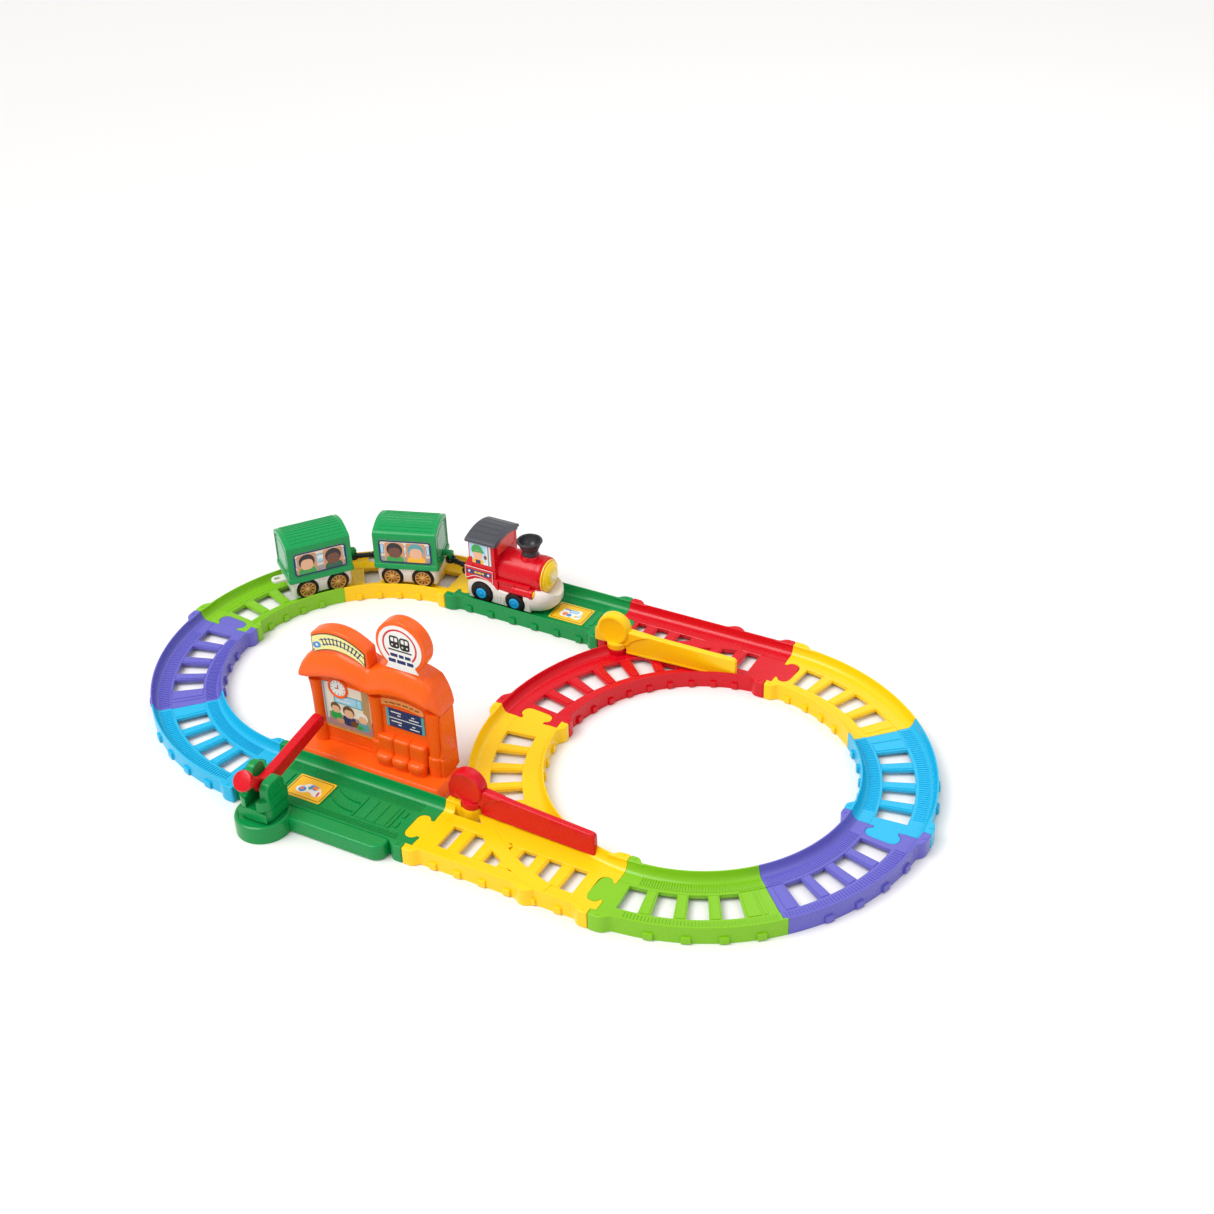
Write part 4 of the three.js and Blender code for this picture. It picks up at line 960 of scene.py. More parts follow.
def canopy(under, over):
    """A fat rolled awning. Its front edge bulges, and its top slopes back to the wall."""
    rings = []
    for x in sorted({x for x, _ in under + over}):
        low, high = height_on_line(under, x), height_on_line(over, x)
        tall = high - low
        reach = max(0.05, min(1.0, tall / 14, (-18.5 - x) / 16))
        profile = [(0, 0.03), (5.5, -0.01), (9.2, 0.03), (11.4, 0.11), (11.7, 0.22), (11.0, 0.36),
                   (9.3, 0.52), (7.0, 0.68), (4.0, 0.84), (0.5, 0.95), (-3, 0.995), (-22, 1.0), (-26, 0.97),
                   (-26, 0.03)]
        rings.append([(x, FACADE - out * (reach if out > 0 else 1), low + tall * share) for out,
                      share in profile])
    return skin(rings)


def tapered_pillar(x0, x1, top):
    """A rounded pillar on a plinth, fuller at its head."""
    middle, half = (x0 + x1) / 2, (x1 - x0) / 2
    rings = []
    for z, wide, out in [(21.5, 1.16, 7.6), (45.5, 1.14, 7.4), (47.5, 1.10, 7.0), (48.6, 0.94, 5.6),
                         (52, 0.90, 5.4), (70, 0.86, 5.2), (90, 0.92, 5.6), (102, 1.02, 6.4),
                         (top, 1.12, 7.4)]:
        arc = [(middle - half * wide * math.cos(a), FACADE - out * math.sin(a) ** 0.7)
               for a in (math.pi * k / 14 for k in range(15))]
        rings.append([(x, y, z) for x,
                      y in [(middle - half * wide, FACADE + 3), *arc, (middle + half * wide, FACADE + 3)]])
    return soften(skin(rings), 0.5, 2, 40)


def station_front():
    front = Piece("moulded_station_front_shell", PLASTIC["orange"], PLASTIC["orange_pale"],
                  PLASTIC["hub_shade"])
    wall = curve_points((-197, 21.6), (-22, 21.6), (-23.4, 60), (-25.5, 112), (-30, 132), (-190, 138),
                        (-197, 112))
    front.add(prism(wall, FACADE, -124, axis="y", soft=1.2))
    under = [(-210, 116.5), (-208.5, 113.6), (-204, 112.0), (-196, 112.6), (-186, 115.6), (-176, 118.4),
             (-164, 121.4), (-152, 123.2), (-144, 123.4), (-134, 121.8), (-124, 118.4), (-117, 115.6),
             (-111, 114.6), (-105, 115.8), (-96, 118.8), (-84, 121.6), (-72, 123.2), (-60, 123.4),
             (-48, 122.2), (-40, 121.0), (-34, 119.4), (-29, 115.4), (-24.5, 111), (-21, 108.2),
             (-19.6, 109.4)]
    over = [(-210, 118), (-209, 123), (-206, 130), (-201, 137), (-194, 143), (-184, 148), (-152, 156),
            (-124, 149), (-113, 144.5), (-107, 147), (-98, 152), (-84, 156), (-66, 158), (-50, 155),
            (-38, 150), (-31, 143.5), (-25.5, 133), (-22, 121), (-19.6, 112)]
    front.add(canopy(under, over))
    board = curve_points((-191.5, 140), (-112.5, 140), (-113.2, 164.5), (-113.6, 167.5, -116.8, 168.6),
                         (-152, 193.5, -187.6, 172.6), (-190.9, 171, -191, 167.6), steps=10)
    front.add(prism(board, FACADE - 0.6, -131.4, axis="y", soft=2.6, steps=3))
    front.add(soften(disc_board(33.0, 17.5), 2.8, 3))
    front.add(tapered_pillar(-199, -184, 109), tapered_pillar(-116.5, -100.5, 111),
              tapered_pillar(-40, -24, 110))
    for x0, x1 in ((-184.6, -117), (-100.4, -40.2)):
        front.add(block(x0, x1, FACADE - 0.9, FACADE + 1, 21.6, 26.5, soft=0.5))
    side = curve_points((-150.5, 21.6), (-123.6, 21.6), (-123.6, 52), (-124.6, 53.5), (-124.6, 106),
                        (-150, 106), (-150, 60), (-152.6, 50), (-152.6, 21.6))
    front.add(prism(side, -26.0, -21.6, axis="x", soft=0.9))
    front.add(block(-27, -20.2, -153.6, -124.4, 21.6, 47, soft=1.4, steps=3))
    for k in range(3):
        x = -107 + 21.6 * k
        front.add(pillow(x - 0.6, x + 22.2, -159.0, -144, 29, 60, 3.4),
                  pillow(x - 0.6, x + 22.2, -168.0, -149, 25, 38.6, 5.2))
        front.add(pillow(x - 0.2, x + 21.8, -165.0, -149, 19, 33, 3.6))
    front.add(block(-104, -45.5, -158.5, -149, 21, 30, soft=1.2))
    front.add(turned([(10.6, 0), (13.6, 0), (14.0, -1.6), (13.0, -3.0), (11.6, -3.0), (10.8, -1.6),
                      (10.6, 0)], (CLOCK_X, FACADE + 0.3, CLOCK_Z), axis="y"))
    header = curve_points((-99.5, 101), (-72, 108.5, -46, 100), (-42.6, 99.6, -42.8, 104),
                          (-43, 107.6, -46, 108.4), (-72, 117, -98.5, 110.4), (-102.4, 109, -102.6, 105.4),
                          (-102.4, 101.4, -99.5, 101), steps=6)
    front.add(prism(header, FACADE - 1.7, FACADE, axis="y", soft=0.7), material=1)
    for x0, x1 in ((-95, -90), (-88.4, -80), (-78.6, -73), (-71.2, -63), (-61.4, -56), (-54.4, -48.6)):
        z = 108.2 - ((x0 + x1 + 144) / 54) ** 2 * 3.4
        front.add(block(x0, x1, FACADE - 2.1, FACADE - 1.4, z - 1.1, z + 0.9, soft=0.3), material=2)
    front.finish("root", ["station_front_shell"], "orange")


def disc_board(radius, depth, front=FACADE - 0.6, foot=149.0):
    """A round board with a flared neck."""
    arc = round_points(SIGN_X, SIGN_Z, radius, -52, 232, 44)
    spread = 0.757 * radius
    bend_z = 158.5 + (foot - 149) * 0.4
    right = curve_points(arc[0], (SIGN_X + 0.86 * spread, bend_z, SIGN_X + spread, foot))
    left = curve_points(arc[-1], (SIGN_X - 0.86 * spread, bend_z, SIGN_X - spread, foot))
    return prism([*reversed(right), *arc[1:-1], *left], front, front + depth, axis="y", soft=0)


def station_back():
    back = Piece("moulded_station_back_shell", PLASTIC["orange"], STEEL)
    outline = curve_points((-199, 21.6), (-21, 21.6), (-23, 106), (-20.5, 110), (-22, 130, -33, 146),
                           (-66, 163, -112, 143), (-152, 158, -191, 146), (-209, 134, -211.0, 114),
                           (-199, 106), steps=8)
    back.add(prism(outline, -124.2, -120.4, axis="y", soft=1.2))
    panel = curve_points((-190, 27), (-30, 27), (-31, 104), (-36, 132, -44, 141), (-110, 133), (-186, 140),
                         (-196, 130, -200, 114), (-191, 106), steps=6)
    back.add(ribbon(panel, 2.2, -121, -119.4, axis="y"))
    for x, z in ((-180, 36), (-40, 36), (-106, 36), (-176, 128), (-112, 120), (-46, 128)):
        boss = [(2.6, 0), (5.4, 0), (5.2, 1.2), (3.0, 1.2), (2.6, 0.2), (2.6, 0)]
        back.add(turned(boss, (x, -120.6, z), axis="y", sides=28))
        back.add(turned([(0, 0), (2.6, 0), (2.5, 0.5), (0.7, 0.6), (0, 0.2)], (x, -120.5, z), axis="y",
                        sides=20), material=1)
    back.finish("root", ["station_back_shell"], "orange")


def figure(x, z, size, skin_tone, hair, coat):
    """A plain passenger symbol: shoulders, head and hair, with no face."""
    return [(coat, x, z - 1.25 * size, 0.95 * size, 0.75 * size, 0.55 * size),
            disc(hair, x, z + 0.2 * size, 0.86 * size),
            (skin_tone, x, z - 0.16 * size, 0.66 * size, 0.62 * size, 0.5 * size)]


def sheet(x0, x1, z0, z1):
    """A thin rectangular label on the station's front wall."""
    outline = rounded_rectangle(x0, x1, z0, z1, 0.8)
    return prism(outline, FACADE - 1.0, FACADE + 0.2, axis="y", soft=0.15)


def wall_panel(name, label, solid, cad_node, slot):
    piece = Piece(name, label)
    piece.add(solid)
    piece.finish("root", [cad_node], slot)


def station_labels():
    poster = [("cream", 0, 18, 33, 16), ("mauve", 0, -22, 33, 12), ("wall", -30, 10, 3, 30),
              ("wood", 27, 8, 5, 28), ("teal", 2, 12, 20, 7, 1), ("sky", 2, 12, 18.4, 5.4, 0.6),
              ("white", -6, 14, 8, 0.7), ("white", -4, 10, 10, 0.7), ("teal", 14, 12, 0.5, 5.4),
              ("grey", -31, 0, 1.2, 33), *figure(-17, -3, 8.0, "skin_light", "brown", "leaf"),
              *figure(1, -5, 9.4, "skin_light", "brown", "navy"),
              *figure(20, -8, 8.6, "skin_light", "white", "teal"), ("brown", 8, -19, 5.5, 4, 1),
              ("tan", -12, -20, 5, 3.4, 1), ("leaf", 15, -22, 4, 3, 1.4), ("wood", 0, -30, 33, 2.2),
              ("gold", 0, -32.4, 33, 0.8)]
    label = printed("poster_print", INKS["cream"], poster, (-150, 0, 76))
    wall_panel("printed_poster", label, sheet(-183, -117.2, 43.5, 108), "poster_panel", "print_white")
    ticks = [("black", 8.7 * math.cos(a), 8.7 * math.sin(a), 1.2 if k % 3 == 0 else 0.8, 0.42, 0,
              math.degrees(a)) for k, a in enumerate(math.pi * k / 6 for k in range(12))]
    hands = [("red", 0.2, 2.4, 3.2, 0.75, 0.5, 75), ("black", -2.2, -0.4, 2.9, 0.6, 0.4, 10),
             disc("red", 0, 0, 1.3)]
    dial = turned([(0, -1.6), (10.4, -1.6), (10.9, -1.2), (10.9, 0.2), (0, 0.2)],
                  (CLOCK_X, FACADE, CLOCK_Z), axis="y")
    label = printed("clock_print", INKS["white"], ticks + hands, (CLOCK_X, 0, CLOCK_Z))
    wall_panel("printed_clock_dial", label, dial, "clock_dial", "print_white")
    rows = [("navy", 0, 0, 22.6, 12.5), ("white", 0, 0.2, 23.5, 0.55), ("teal", -24, 0, 1.9, 12.8),
            ("teal", 24, 0, 1.9, 12.8)]
    for z in (8.6, -4.4):
        rows += [("white", -12, z, 7, 0.75, 0.4), ("white", -8, z - 3.6, 2.2, 0.7, 0.4),
                 ("white", 11, z - 0.6, 2.0, 0.7, 0.4), ("white", 12, z - 4.4, 6.5, 0.7, 0.4)]
    label = printed("timetable_print", INKS["navy"], rows, (-69.5, 0, 85.5))
    wall_panel("printed_timetable", label, sheet(-95.2, -43.6, 72.8, 98.4), "board_panel", "print_blue")
    track = [disc("navy", 0, 0, 52.4, 1.3), disc("navy", 0, 0, 45.8, 1.3)]
    for k in range(13):
        a = math.radians(54 + 6.0 * k)
        track.append(("navy", 49.1 * math.cos(a), 49.1 * math.sin(a), 5.0, 0.95, 0.3, math.degrees(a)))
    track += [("pale_yellow", -31, 42, 7.4, 9, 0, 35), ("blue", -29.2, 38.6, 6.0, 4.0, 4.0, 24),
              disc("white", -29.2, 38.6, 1.9)]
    arch = curve_points((-188, 147.2), (-152, 169.0, -117.4, 146.6), (-117.0, 163.2),
                        (-152, 189.0, -188, 167.6), steps=14)
    label = printed("name_sign_print", INKS["pale_yellow"], track, (-152.5, 0, 119.5))
    sign = Piece("printed_name_sign", label, PLASTIC["dark"])
    sign.add(prism(arch, FACADE - 1.5, FACADE, axis="y", soft=0.1))
    sign.add(ribbon(arch, -0.9, FACADE - 1.3, FACADE - 0.5, axis="y"), material=1)
    sign.finish("root", ["name_sign_panel"], "label")
    train = [disc("red", 0, 1.5, 21.5, 2.4), ("white", 0, -24, 15.2, 12, 3),
             ("black", -6.6, 6.5, 6.6, 8.2, 4.0), ("black", 7.0, 6.0, 6.6, 8.4, 4.0),
             ("white", -6.6, 9.6, 4.4, 2.6, 1.2), ("white", 7.0, 9.2, 4.6, 2.6, 1.2),
             ("black", -6.6, 9.6, 0.7, 2.8), ("black", 7.0, 9.2, 0.7, 2.8), disc("white", -9.6, 2.4, 1.1),
             disc("white", -3.6, 2.4, 1.1), disc("white", 4.0, 1.8, 1.1), disc("white", 10, 1.8, 1.1),
             ("black", 0, -4.4, 15.5, 1.0, 0.5), ("navy", 0, -11.5, 13.5, 2.2, 1.4),
             ("navy", 0, -19.2, 16.5, 2.4, 1.4), ("white", -3, -11.5, 0.8, 2.4),
             ("white", 5, -11.5, 0.8, 2.4), ("white", -6, -19.2, 0.8, 2.6), ("white", 7, -19.2, 0.8, 2.6)]
    label = printed("round_sign_print", INKS["white"], train, (SIGN_X, 0, SIGN_Z))
    board = disc_board(28.4, 1.2, FACADE - 1.5, 157.5)
    wall_panel("printed_round_sign", label, board, "round_sign_panel", "print_white")


station_base()
station_front()
station_back()
station_labels()


# ---- engine: drawn about the middle of its wheelbase, nose towards +X, then put on the back straight ----
ENGINE_X = -158
ENGINE_PLACE = Matrix.Translation((ENGINE_X, RADIUS, 0))
BOILER_Z = 58.0
CAB_ARC_Z = 41.1  # centre of the arcs of the cab's top and roof
REAR_AXLE, FRONT_AXLE = (-25.0, 25.8, 15.5), (25.0, 23.8, 13.5)  # x, z and wheel radius
WELL_SIDES = ((23.2, 40), (-40, -23.2))  # from and to, across the engine


def both_sides(make):
    return [make(), moved(make(), MIRROR)]


def rod_y(x, z, radius, y0, y1, sides=48):
    return turned([(0, y0), (radius, y0), (radius, y1), (0, y1)], (x, 0, z), axis="y", sides=sides)


def engine_chassis():
    side = curve_points((-46, 14), (-47.5, 34), (-45.5, 46, -25, 46.6), (-6, 46, -2, 36.5), (44, 32.5),
                        (60, 33, 64, 44), (70, 44), (70, 14), steps=8)
    shell = prism(side, -30, 30, axis="y", soft=1.6, steps=3)
    nose_rings = []
    for z, reach, half in [(13.5, 26, 23.5), (15.5, 30, 26.5), (19, 33.5, 28.8), (25, 36.5, 30),
                           (32, 38, 30.4), (38, 37.4, 30.2), (42.5, 35.4, 28.6), (45.2, 32.6, 26.4),
                           (46.4, 28.5, 23)]:
        arc = [(40 + reach * math.cos(a) ** 0.86 if math.cos(a) > 1e-6 else 40, half * math.sin(a))
               for a in (math.radians(-90 + 7.5 * k) for k in range(25))]
        nose_rings.append([(x, y, z) for x, y in [(38, -half), *arc, (38, half)]])
    wells = []
    for x, z, radius in (REAR_AXLE, FRONT_AXLE):
        wells += [rod_y(x, z, radius + 1.5, y0, y1) for y0, y1 in WELL_SIDES]
    face_room = turned([(0, 50), (22.9, 50), (22.9, 80), (0, 80)], (0, 0, BOILER_Z), axis="x")
    hollow = block(-43, 40, -20.5, 20.5, 16, 60, soft=0)
    body = carved(shell, block(47, 90, -40, 40, 0, 80, soft=0), hollow, *wells)
    nose = carved(skin(nose_rings), face_room, *[rod_y(FRONT_AXLE[0], FRONT_AXLE[1], 15, y0, y1) for y0,
                                                 y1 in WELL_SIDES])
    chassis = Piece("moulded_engine_chassis", PLASTIC["white"])
    chassis.add(body, nose)
    for x in (-7.5, -2.5, 2.5, 7.5):
        chassis.add(*both_sides(lambda: block(x - 0.6, x + 0.6, 29.4, 30.6, 17, 28, soft=0.3)))
    chassis.move(ENGINE_PLACE)
    chassis.finish("engine", ["engine_chassis"], "white")


def cab_section(half, radius, low):
    top = math.degrees(math.acos(half / radius))
    return [(-half, low), (half, low), *round_points(0, CAB_ARC_Z, radius, top, 180 - top, 18)]


def engine_body():
    red = PLASTIC["red"]
    body = Piece("moulded_engine_body", red, PLASTIC["red_pale"], PLASTIC["yellow"])
    cab = prism(cab_section(29, 66.1, 47), -42.5, -3, axis="x", soft=1.0)
    rear_side = curve_points((-36, 40), (-46, 40), (-50.8, 43, -50.8, 51), (-50.8, 62, -46.6, 68.6),
                             (-43.4, 74, -42, 79), (-36, 79), steps=6)
    rear = prism(rear_side, -29.8, 29.8, axis="y", soft=1.6, steps=3)
    low_side = curve_points((-49, 50), (-49.4, 42, -46, 40), (-43, 46, -25, 47), (-8, 47, -3.5, 37.5),
                            (-1.5, 36), (0, 34), (0, 52), steps=8)
    skirt = prism(low_side, -30.2, 30.2, axis="y", soft=1.0)
    rooms = [prism(cab_section(25.5, 63.5, 30), -40, -8, axis="x", soft=0) for _ in range(2)]
    body.add(carved(cab, rooms[0]), carved(skirt, block(-45, -8, -26, 26, 30, 60, soft=0)),
             carved(rear, rooms[1]))
    boiler = [(0, -6), (25, -6), (25, 48), (25.4, 48.6), (25.4, 50.6), (25, 51.2), (25, 56), (24.2, 58.4),
              (22.9, 59.6), (22.5, 59.6), (22.5, 40), (0, 40)]
    body.add(turned(boiler, (0, 0, BOILER_Z), axis="x", sides=64))
    body.add(*both_sides(lambda: prism([(20, 47), (24.4, 51.6), (27.6, 50.8), (27.6, 33), (20, 33)], -2, 47,
                                       axis="x", soft=0.9)))
    body.add(*both_sides(lambda: block(-1, 46.5, 26.6, 28.8, 48.6, 51.2, soft=0.8)))
    body.add(*both_sides(lambda: block(0, 22.5, 26.6, 28.6, 37.2, 40.2, soft=0.7)))
    cylinder = [(0, 21), (6.8, 21), (7.2, 22), (7.2, 24), (6.5, 25), (6.5, 46), (7.2, 47), (7.2, 50),
                (6.6, 51.6), (0, 51.6)]
    body.add(*both_sides(lambda: turned(cylinder, (0, 25.2, 41), axis="x", sides=36)))
    cap = [(0, 51), (5.0, 51), (5.0, 52.4), (4.2, 53.4), (1.6, 53.8), (0, 53.9)]
    body.add(*both_sides(lambda: turned(cap, (0, 25.2, 41), axis="x", sides=32)), material=2)
    saddle = [(0, 68), (18.5, 68), (16.5, 73.5), (14.4, 78), (13, 81.5), (12.5, 84), (11.8, 84.8), (0, 84.8)]
    body.add(turned(saddle, (34, 0, 0)))
    body.add(turned([(0, -4), (17, -4), (16.5, 8), (13, 20), (9.5, 27), (0, 27)], (0, 0, 66.5), axis="x"))
    window = curve_points((-20, 82), (20, 82), (24, 86, 24, 92), (24, 99.6), (12, 104.4, 0, 104.6),
                          (-12, 104.4, -24, 99.6), (-24, 92), (-24, 86, -20, 82), steps=6)
    body.add(prism(window, -3.4, -2.2, axis="x", soft=0.4), material=1)
    body.add(ribbon(window, 1.4, -3.2, -1.8, axis="x"))
    body.move(ENGINE_PLACE)
    body.finish("engine", ["engine_body"], "red")


def engine_labels():
    sight = [("white", 0, -15, 17, 3), ("grey", 14.0, 0, 3.0, 16), ("white", 14.4, 0, 0.9, 16),
             ("sky", -4, 8, 13.4, 7.6), ("white", 10.2, 2, 0.7, 14), ("sky", -13, -10, 3.5, 3),
             ("brown", 7.4, -3.4, 2.4, 3.0, 1.8), ("gold", -4, -12.2, 8.4, 4.4, 3.2),
             ("navy", -4, -13.4, 3.8, 4.0, 1.2), disc("leaf", -4.4, 4.8, 8.8),
             disc("skin_light", -4, -1.8, 7.2), ("leaf", -3.4, 3.4, 9.4, 1.5, 1.4, 4)]
    view = printed("cab_window_print", (0.50, 0.74, 0.90), sight, (ENGINE_X - 24, 0, 84.8))
    pane = Piece("printed_cab_windows", view, PLASTIC["red"])
    window = rounded_rectangle(-40.5, -7.5, 69.8, 99.8, 1.2)
    pane.add(*both_sides(lambda: prism(window, 28.6, 29.5, axis="y", soft=0.2)))
    pane.move(ENGINE_PLACE)
    pane.finish("engine", slot="print_white")
    band = [("navy", 0, 0, 18.8, 3.5, 0.6), ("gold", -4.5, 0, 2.2, 1.4, 0.4),
            ("gold", 1.0, 0, 2.6, 1.4, 0.4), ("gold", 6.2, 0, 1.8, 1.4, 0.4),
            ("white", -14.6, 0, 1.5, 1.5, 0.4, 45), ("white", 14.6, 0, 1.5, 1.5, 0.4, 45)]
    plate = printed("side_band_print", COLOURS["red"], band, (ENGINE_X - 28, 0, 55.4))
    panel = curve_points((-48.6, 63.2), (-49.0, 45.2), (-47.0, 43.4, -43.5, 45.6), (-38, 50.0, -30, 50.0),
                         (-18, 49.6, -9.5, 44.4), (-7.2, 43.2), (-6.4, 62.6), steps=7)
    sheet = Piece("printed_side_panels", plate, PLASTIC["white"])
    sheet.add(*both_sides(lambda: prism(panel, 29.6, 30.5, axis="y", soft=0.15)))
    sheet.add(*both_sides(lambda: ribbon(panel, 0.8, 30.3, 30.75, axis="y")), material=1)
    sheet.move(ENGINE_PLACE)
    sheet.finish("engine", slot="print_white")


def engine_roof():
    half, eave = 31.5, 102.6
    outer, inner = 70.9, 66.6
    reach = math.degrees(math.acos(half / outer))
    arc = round_points(0, CAB_ARC_Z, outer, reach, 180 - reach, 60)
    low = math.degrees(math.acos(29.6 / inner))
    under = round_points(0, CAB_ARC_Z, inner, 180 - low, low, 30)
    roof = Piece("moulded_engine_cab_roof", PLASTIC["grey"])
    roof.add(prism([(half + 0.2, eave - 2.3), (half + 0.6, eave), *arc, (-half - 0.6, eave),
                    (-half - 0.2, eave - 2.3), *under], -45.8, 0.2, axis="x", soft=1.5, steps=3))
    for x0, x1 in ((-45.4, -43.0), (-2.6, -0.2)):  # deeper rims over the cab's two end walls
        fascia = [*round_points(0, CAB_ARC_Z, 69.5, 64.5, 115.5, 24),
                  *round_points(0, CAB_ARC_Z, 62.6, 115.5, 64.5, 24)]
        roof.add(prism(fascia, x0, x1, axis="x", soft=0.8))
    for lean in (-17.9, -8.9, 0.1, 9.1, 18.1):
        rib = stacked(-42.4, -3.2, -4.8, 4.8, 2.6, [(0, outer - 0.3), (0, outer + 0.2)], steps=3)
        around = Matrix.Translation((0, 0, CAB_ARC_Z)) @ Matrix.Rotation(math.radians(lean), 4, "X")
        roof.add(moved(rib, around))
    roof.move(ENGINE_PLACE)
    roof.finish("engine", ["engine_cab_roof"], "grey", angle=24)


def engine_funnel():
    grey = PLASTIC["soot"]
    funnel = Piece("moulded_engine_funnel", grey)
    profile = [(0, 84.9), (11.0, 84.9), (11.4, 85.8), (11.2, 87.2), (10.4, 88.8), (10.1, 90.4),
               (10.5, 92.2), (12.0, 95.4), (13.4, 98.6), (14.4, 101.2), (15.0, 102.2), (16.4, 102.8),
               (17.2, 103.8), (17.2, 104.8), (16.4, 105.8), (15.2, 106.0), (14.2, 105.4), (13.6, 103.4),
               (12.2, 99.4), (9.6, 95.6), (6.2, 93.6), (0, 93.2)]
    funnel.add(turned(profile, (0, 0, 0), sides=64))
    points = [(10.5, 91.6), (12.1, 95.4), (13.6, 98.8), (14.8, 101.8)]
    rings = [[(r - 1.0, 1.15, z), (r + 0.65, 0.6, z), (r + 0.65, -0.6, z), (r - 1.0, -1.15, z)] for r,
             z in points]
    funnel.add(ring(skin([[(x - 12, y, z) for x, y, z in one] for one in rings]), 12.0, 18, grey))
    funnel.move(ENGINE_PLACE @ Matrix.Translation((34, 0, 0)))
    funnel.finish("engine", ["engine_funnel"], "grey")


def engine_face():
    rings = [disc("orange", 0, 0, 21.4, 1.0), disc("gold", 0, 0, 17.2, 0.9), disc("gold", 0, 0, 12.6, 0.8),
             disc("pale_yellow", 0, 0, 9.0), disc("gold", 0, 0, 9.0, 0.9), disc("white", 0, 0, 4.6),
             disc("gold", 0, 0, 4.6, 0.6)]
    lens = printed("lamp_print", (0.96, 0.72, 0.02), rings, (0, RADIUS, BOILER_Z), (0, 1, 0), (0, 0, 1),
                   gloss=0.12)
    face = Piece("moulded_engine_face_button", lens)
    profile = [(0, 56.2), (21.6, 56.2), (22.3, 57.2), (22.3, 60.4), (21.6, 61.6), (20.6, 61.9),
               (19.8, 61.6), (19.2, 62.2), (17.6, 64.0), (15, 65.5), (12.6, 66.4), (12.2, 66.1),
               (11.7, 66.7), (7, 67.6), (0, 68.0)]
    face.add(turned(profile, (0, 0, BOILER_Z), axis="x", sides=72))
    scallop = turned([(0, 0), (1.5, 0), (1.3, 1.0), (0, 1.3)], (0, 0, 59.9), sides=12)
    beads = ring(scallop, 20.9, 28, lens)
    turn = Matrix.Translation((0, 0, BOILER_Z)) @ Matrix.Rotation(math.pi / 2, 4, "Y")
    face.add(moved(beads, turn))
    face.move(ENGINE_PLACE)
    face.finish("engine_face_button", ["engine_face_button"], "lens_yellow")


def tyre(radius, inner, low, high, finish):
    """A ribbed rubber tyre about Z."""
    profile = [(inner, low + 1), (radius - 2.4, low), (radius - 0.8, low + 0.6), (radius - 0.2, low + 2),
               (radius - 0.2, high - 2.4), (radius - 1.0, high - 0.8), (radius - 2.6, high),
               (inner + 0.8, high - 0.5), (inner, high - 1.2), (inner, low + 1)]
    tread = block(-1.2, 0.35, -0.55, 0.55, low + 1.4, high - 1.9, soft=0)
    wall = skin([[(radius - 6.2, y0 * 0.7, z), (radius - 1.6, y0, z), (radius - 1.6, -y0, z),
                  (radius - 6.2, -y0 * 0.7, z)] for y0, z in ((0.62, high - 1.0), (0.42, high + 0.05))])
    bmesh.ops.translate(wall, verts=wall.verts, vec=(-radius, 0, 0))
    return [turned(profile, (0, 0, 0), sides=56), ring(tread, radius - 0.25, 36, finish),
            ring(wall, radius, 24, finish)]


def wheel_place(x, z, way):
    """Puts a wheel, drawn about Z with its outer face up, on its axle: way is 1 on the left side."""
    turn = Matrix.Translation((x, 0, z)) @ Matrix.Rotation(-math.pi / 2, 4, "X")
    return turn if way > 0 else MIRROR @ turn


def engine_wheels():
    for end, (x, z, radius), body in (("rear", REAR_AXLE, "engine_rear_wheels"),
                                      ("front", FRONT_AXLE, "engine_front_wheels")):
        for side, way in (("left", 1), ("right", -1)):
            name = f"engine_wheel_{end}_{side}"
            wheel = Piece(f"moulded_{name}", PLASTIC["black"], PLASTIC["hub_blue"])
            wheel.add(*tyre(radius, 7.4, 24, 33, PLASTIC["black"]))
            hub = [(0, 26), (7.9, 26), (7.9, 31.6), (7.6, 32.8), (6.8, 33.5), (5.6, 33.7), (4.6, 33.2),
                   (2.6, 33.0), (2.2, 33.8), (1.2, 34.0), (0, 34.0)]
            wheel.add(turned(hub, (0, 0, 0), sides=44), material=1)
            spokes = ring(block(-1.6, 1.5, -0.5, 0.5, 33.0, 33.5, soft=0), 4.2, 6, PLASTIC["hub_blue"])
            wheel.add(spokes, material=1)
            wheel.move(ENGINE_PLACE @ wheel_place(x, z, way))
            wheel.finish(body, [name], "black")


engine_chassis()
engine_body()
engine_labels()
engine_roof()
engine_funnel()
engine_face()
engine_wheels()


# ---- carriages: drawn about their middle, front towards +X, then put on the left loop ----
CAR_AXLE_X, CAR_AXLE_Z = 21, 24.3


def carriage_place(degrees):
    angle = math.radians(degrees)
    return Matrix.Translation((-LENGTH + RADIUS * math.cos(angle), RADIUS * math.sin(angle),
                               0)) @ Matrix.Rotation(angle - math.pi / 2, 4, "Z")


def car_section(inset, low):
    """The end outline, moved in by inset: upright sides, a quick turn and a long shallow roof."""
    half = 31 - inset
    right = curve_points((half, low), (half, 87.0), (half, 91.8 - 0.6 * inset, half - 4.0, 93.4 - inset),
                         (0.46 * half, 98.9 - inset, 0, 99.5 - inset), steps=8)
    return [*right, *[(-y, z) for y, z in reversed(right[:-1])]]


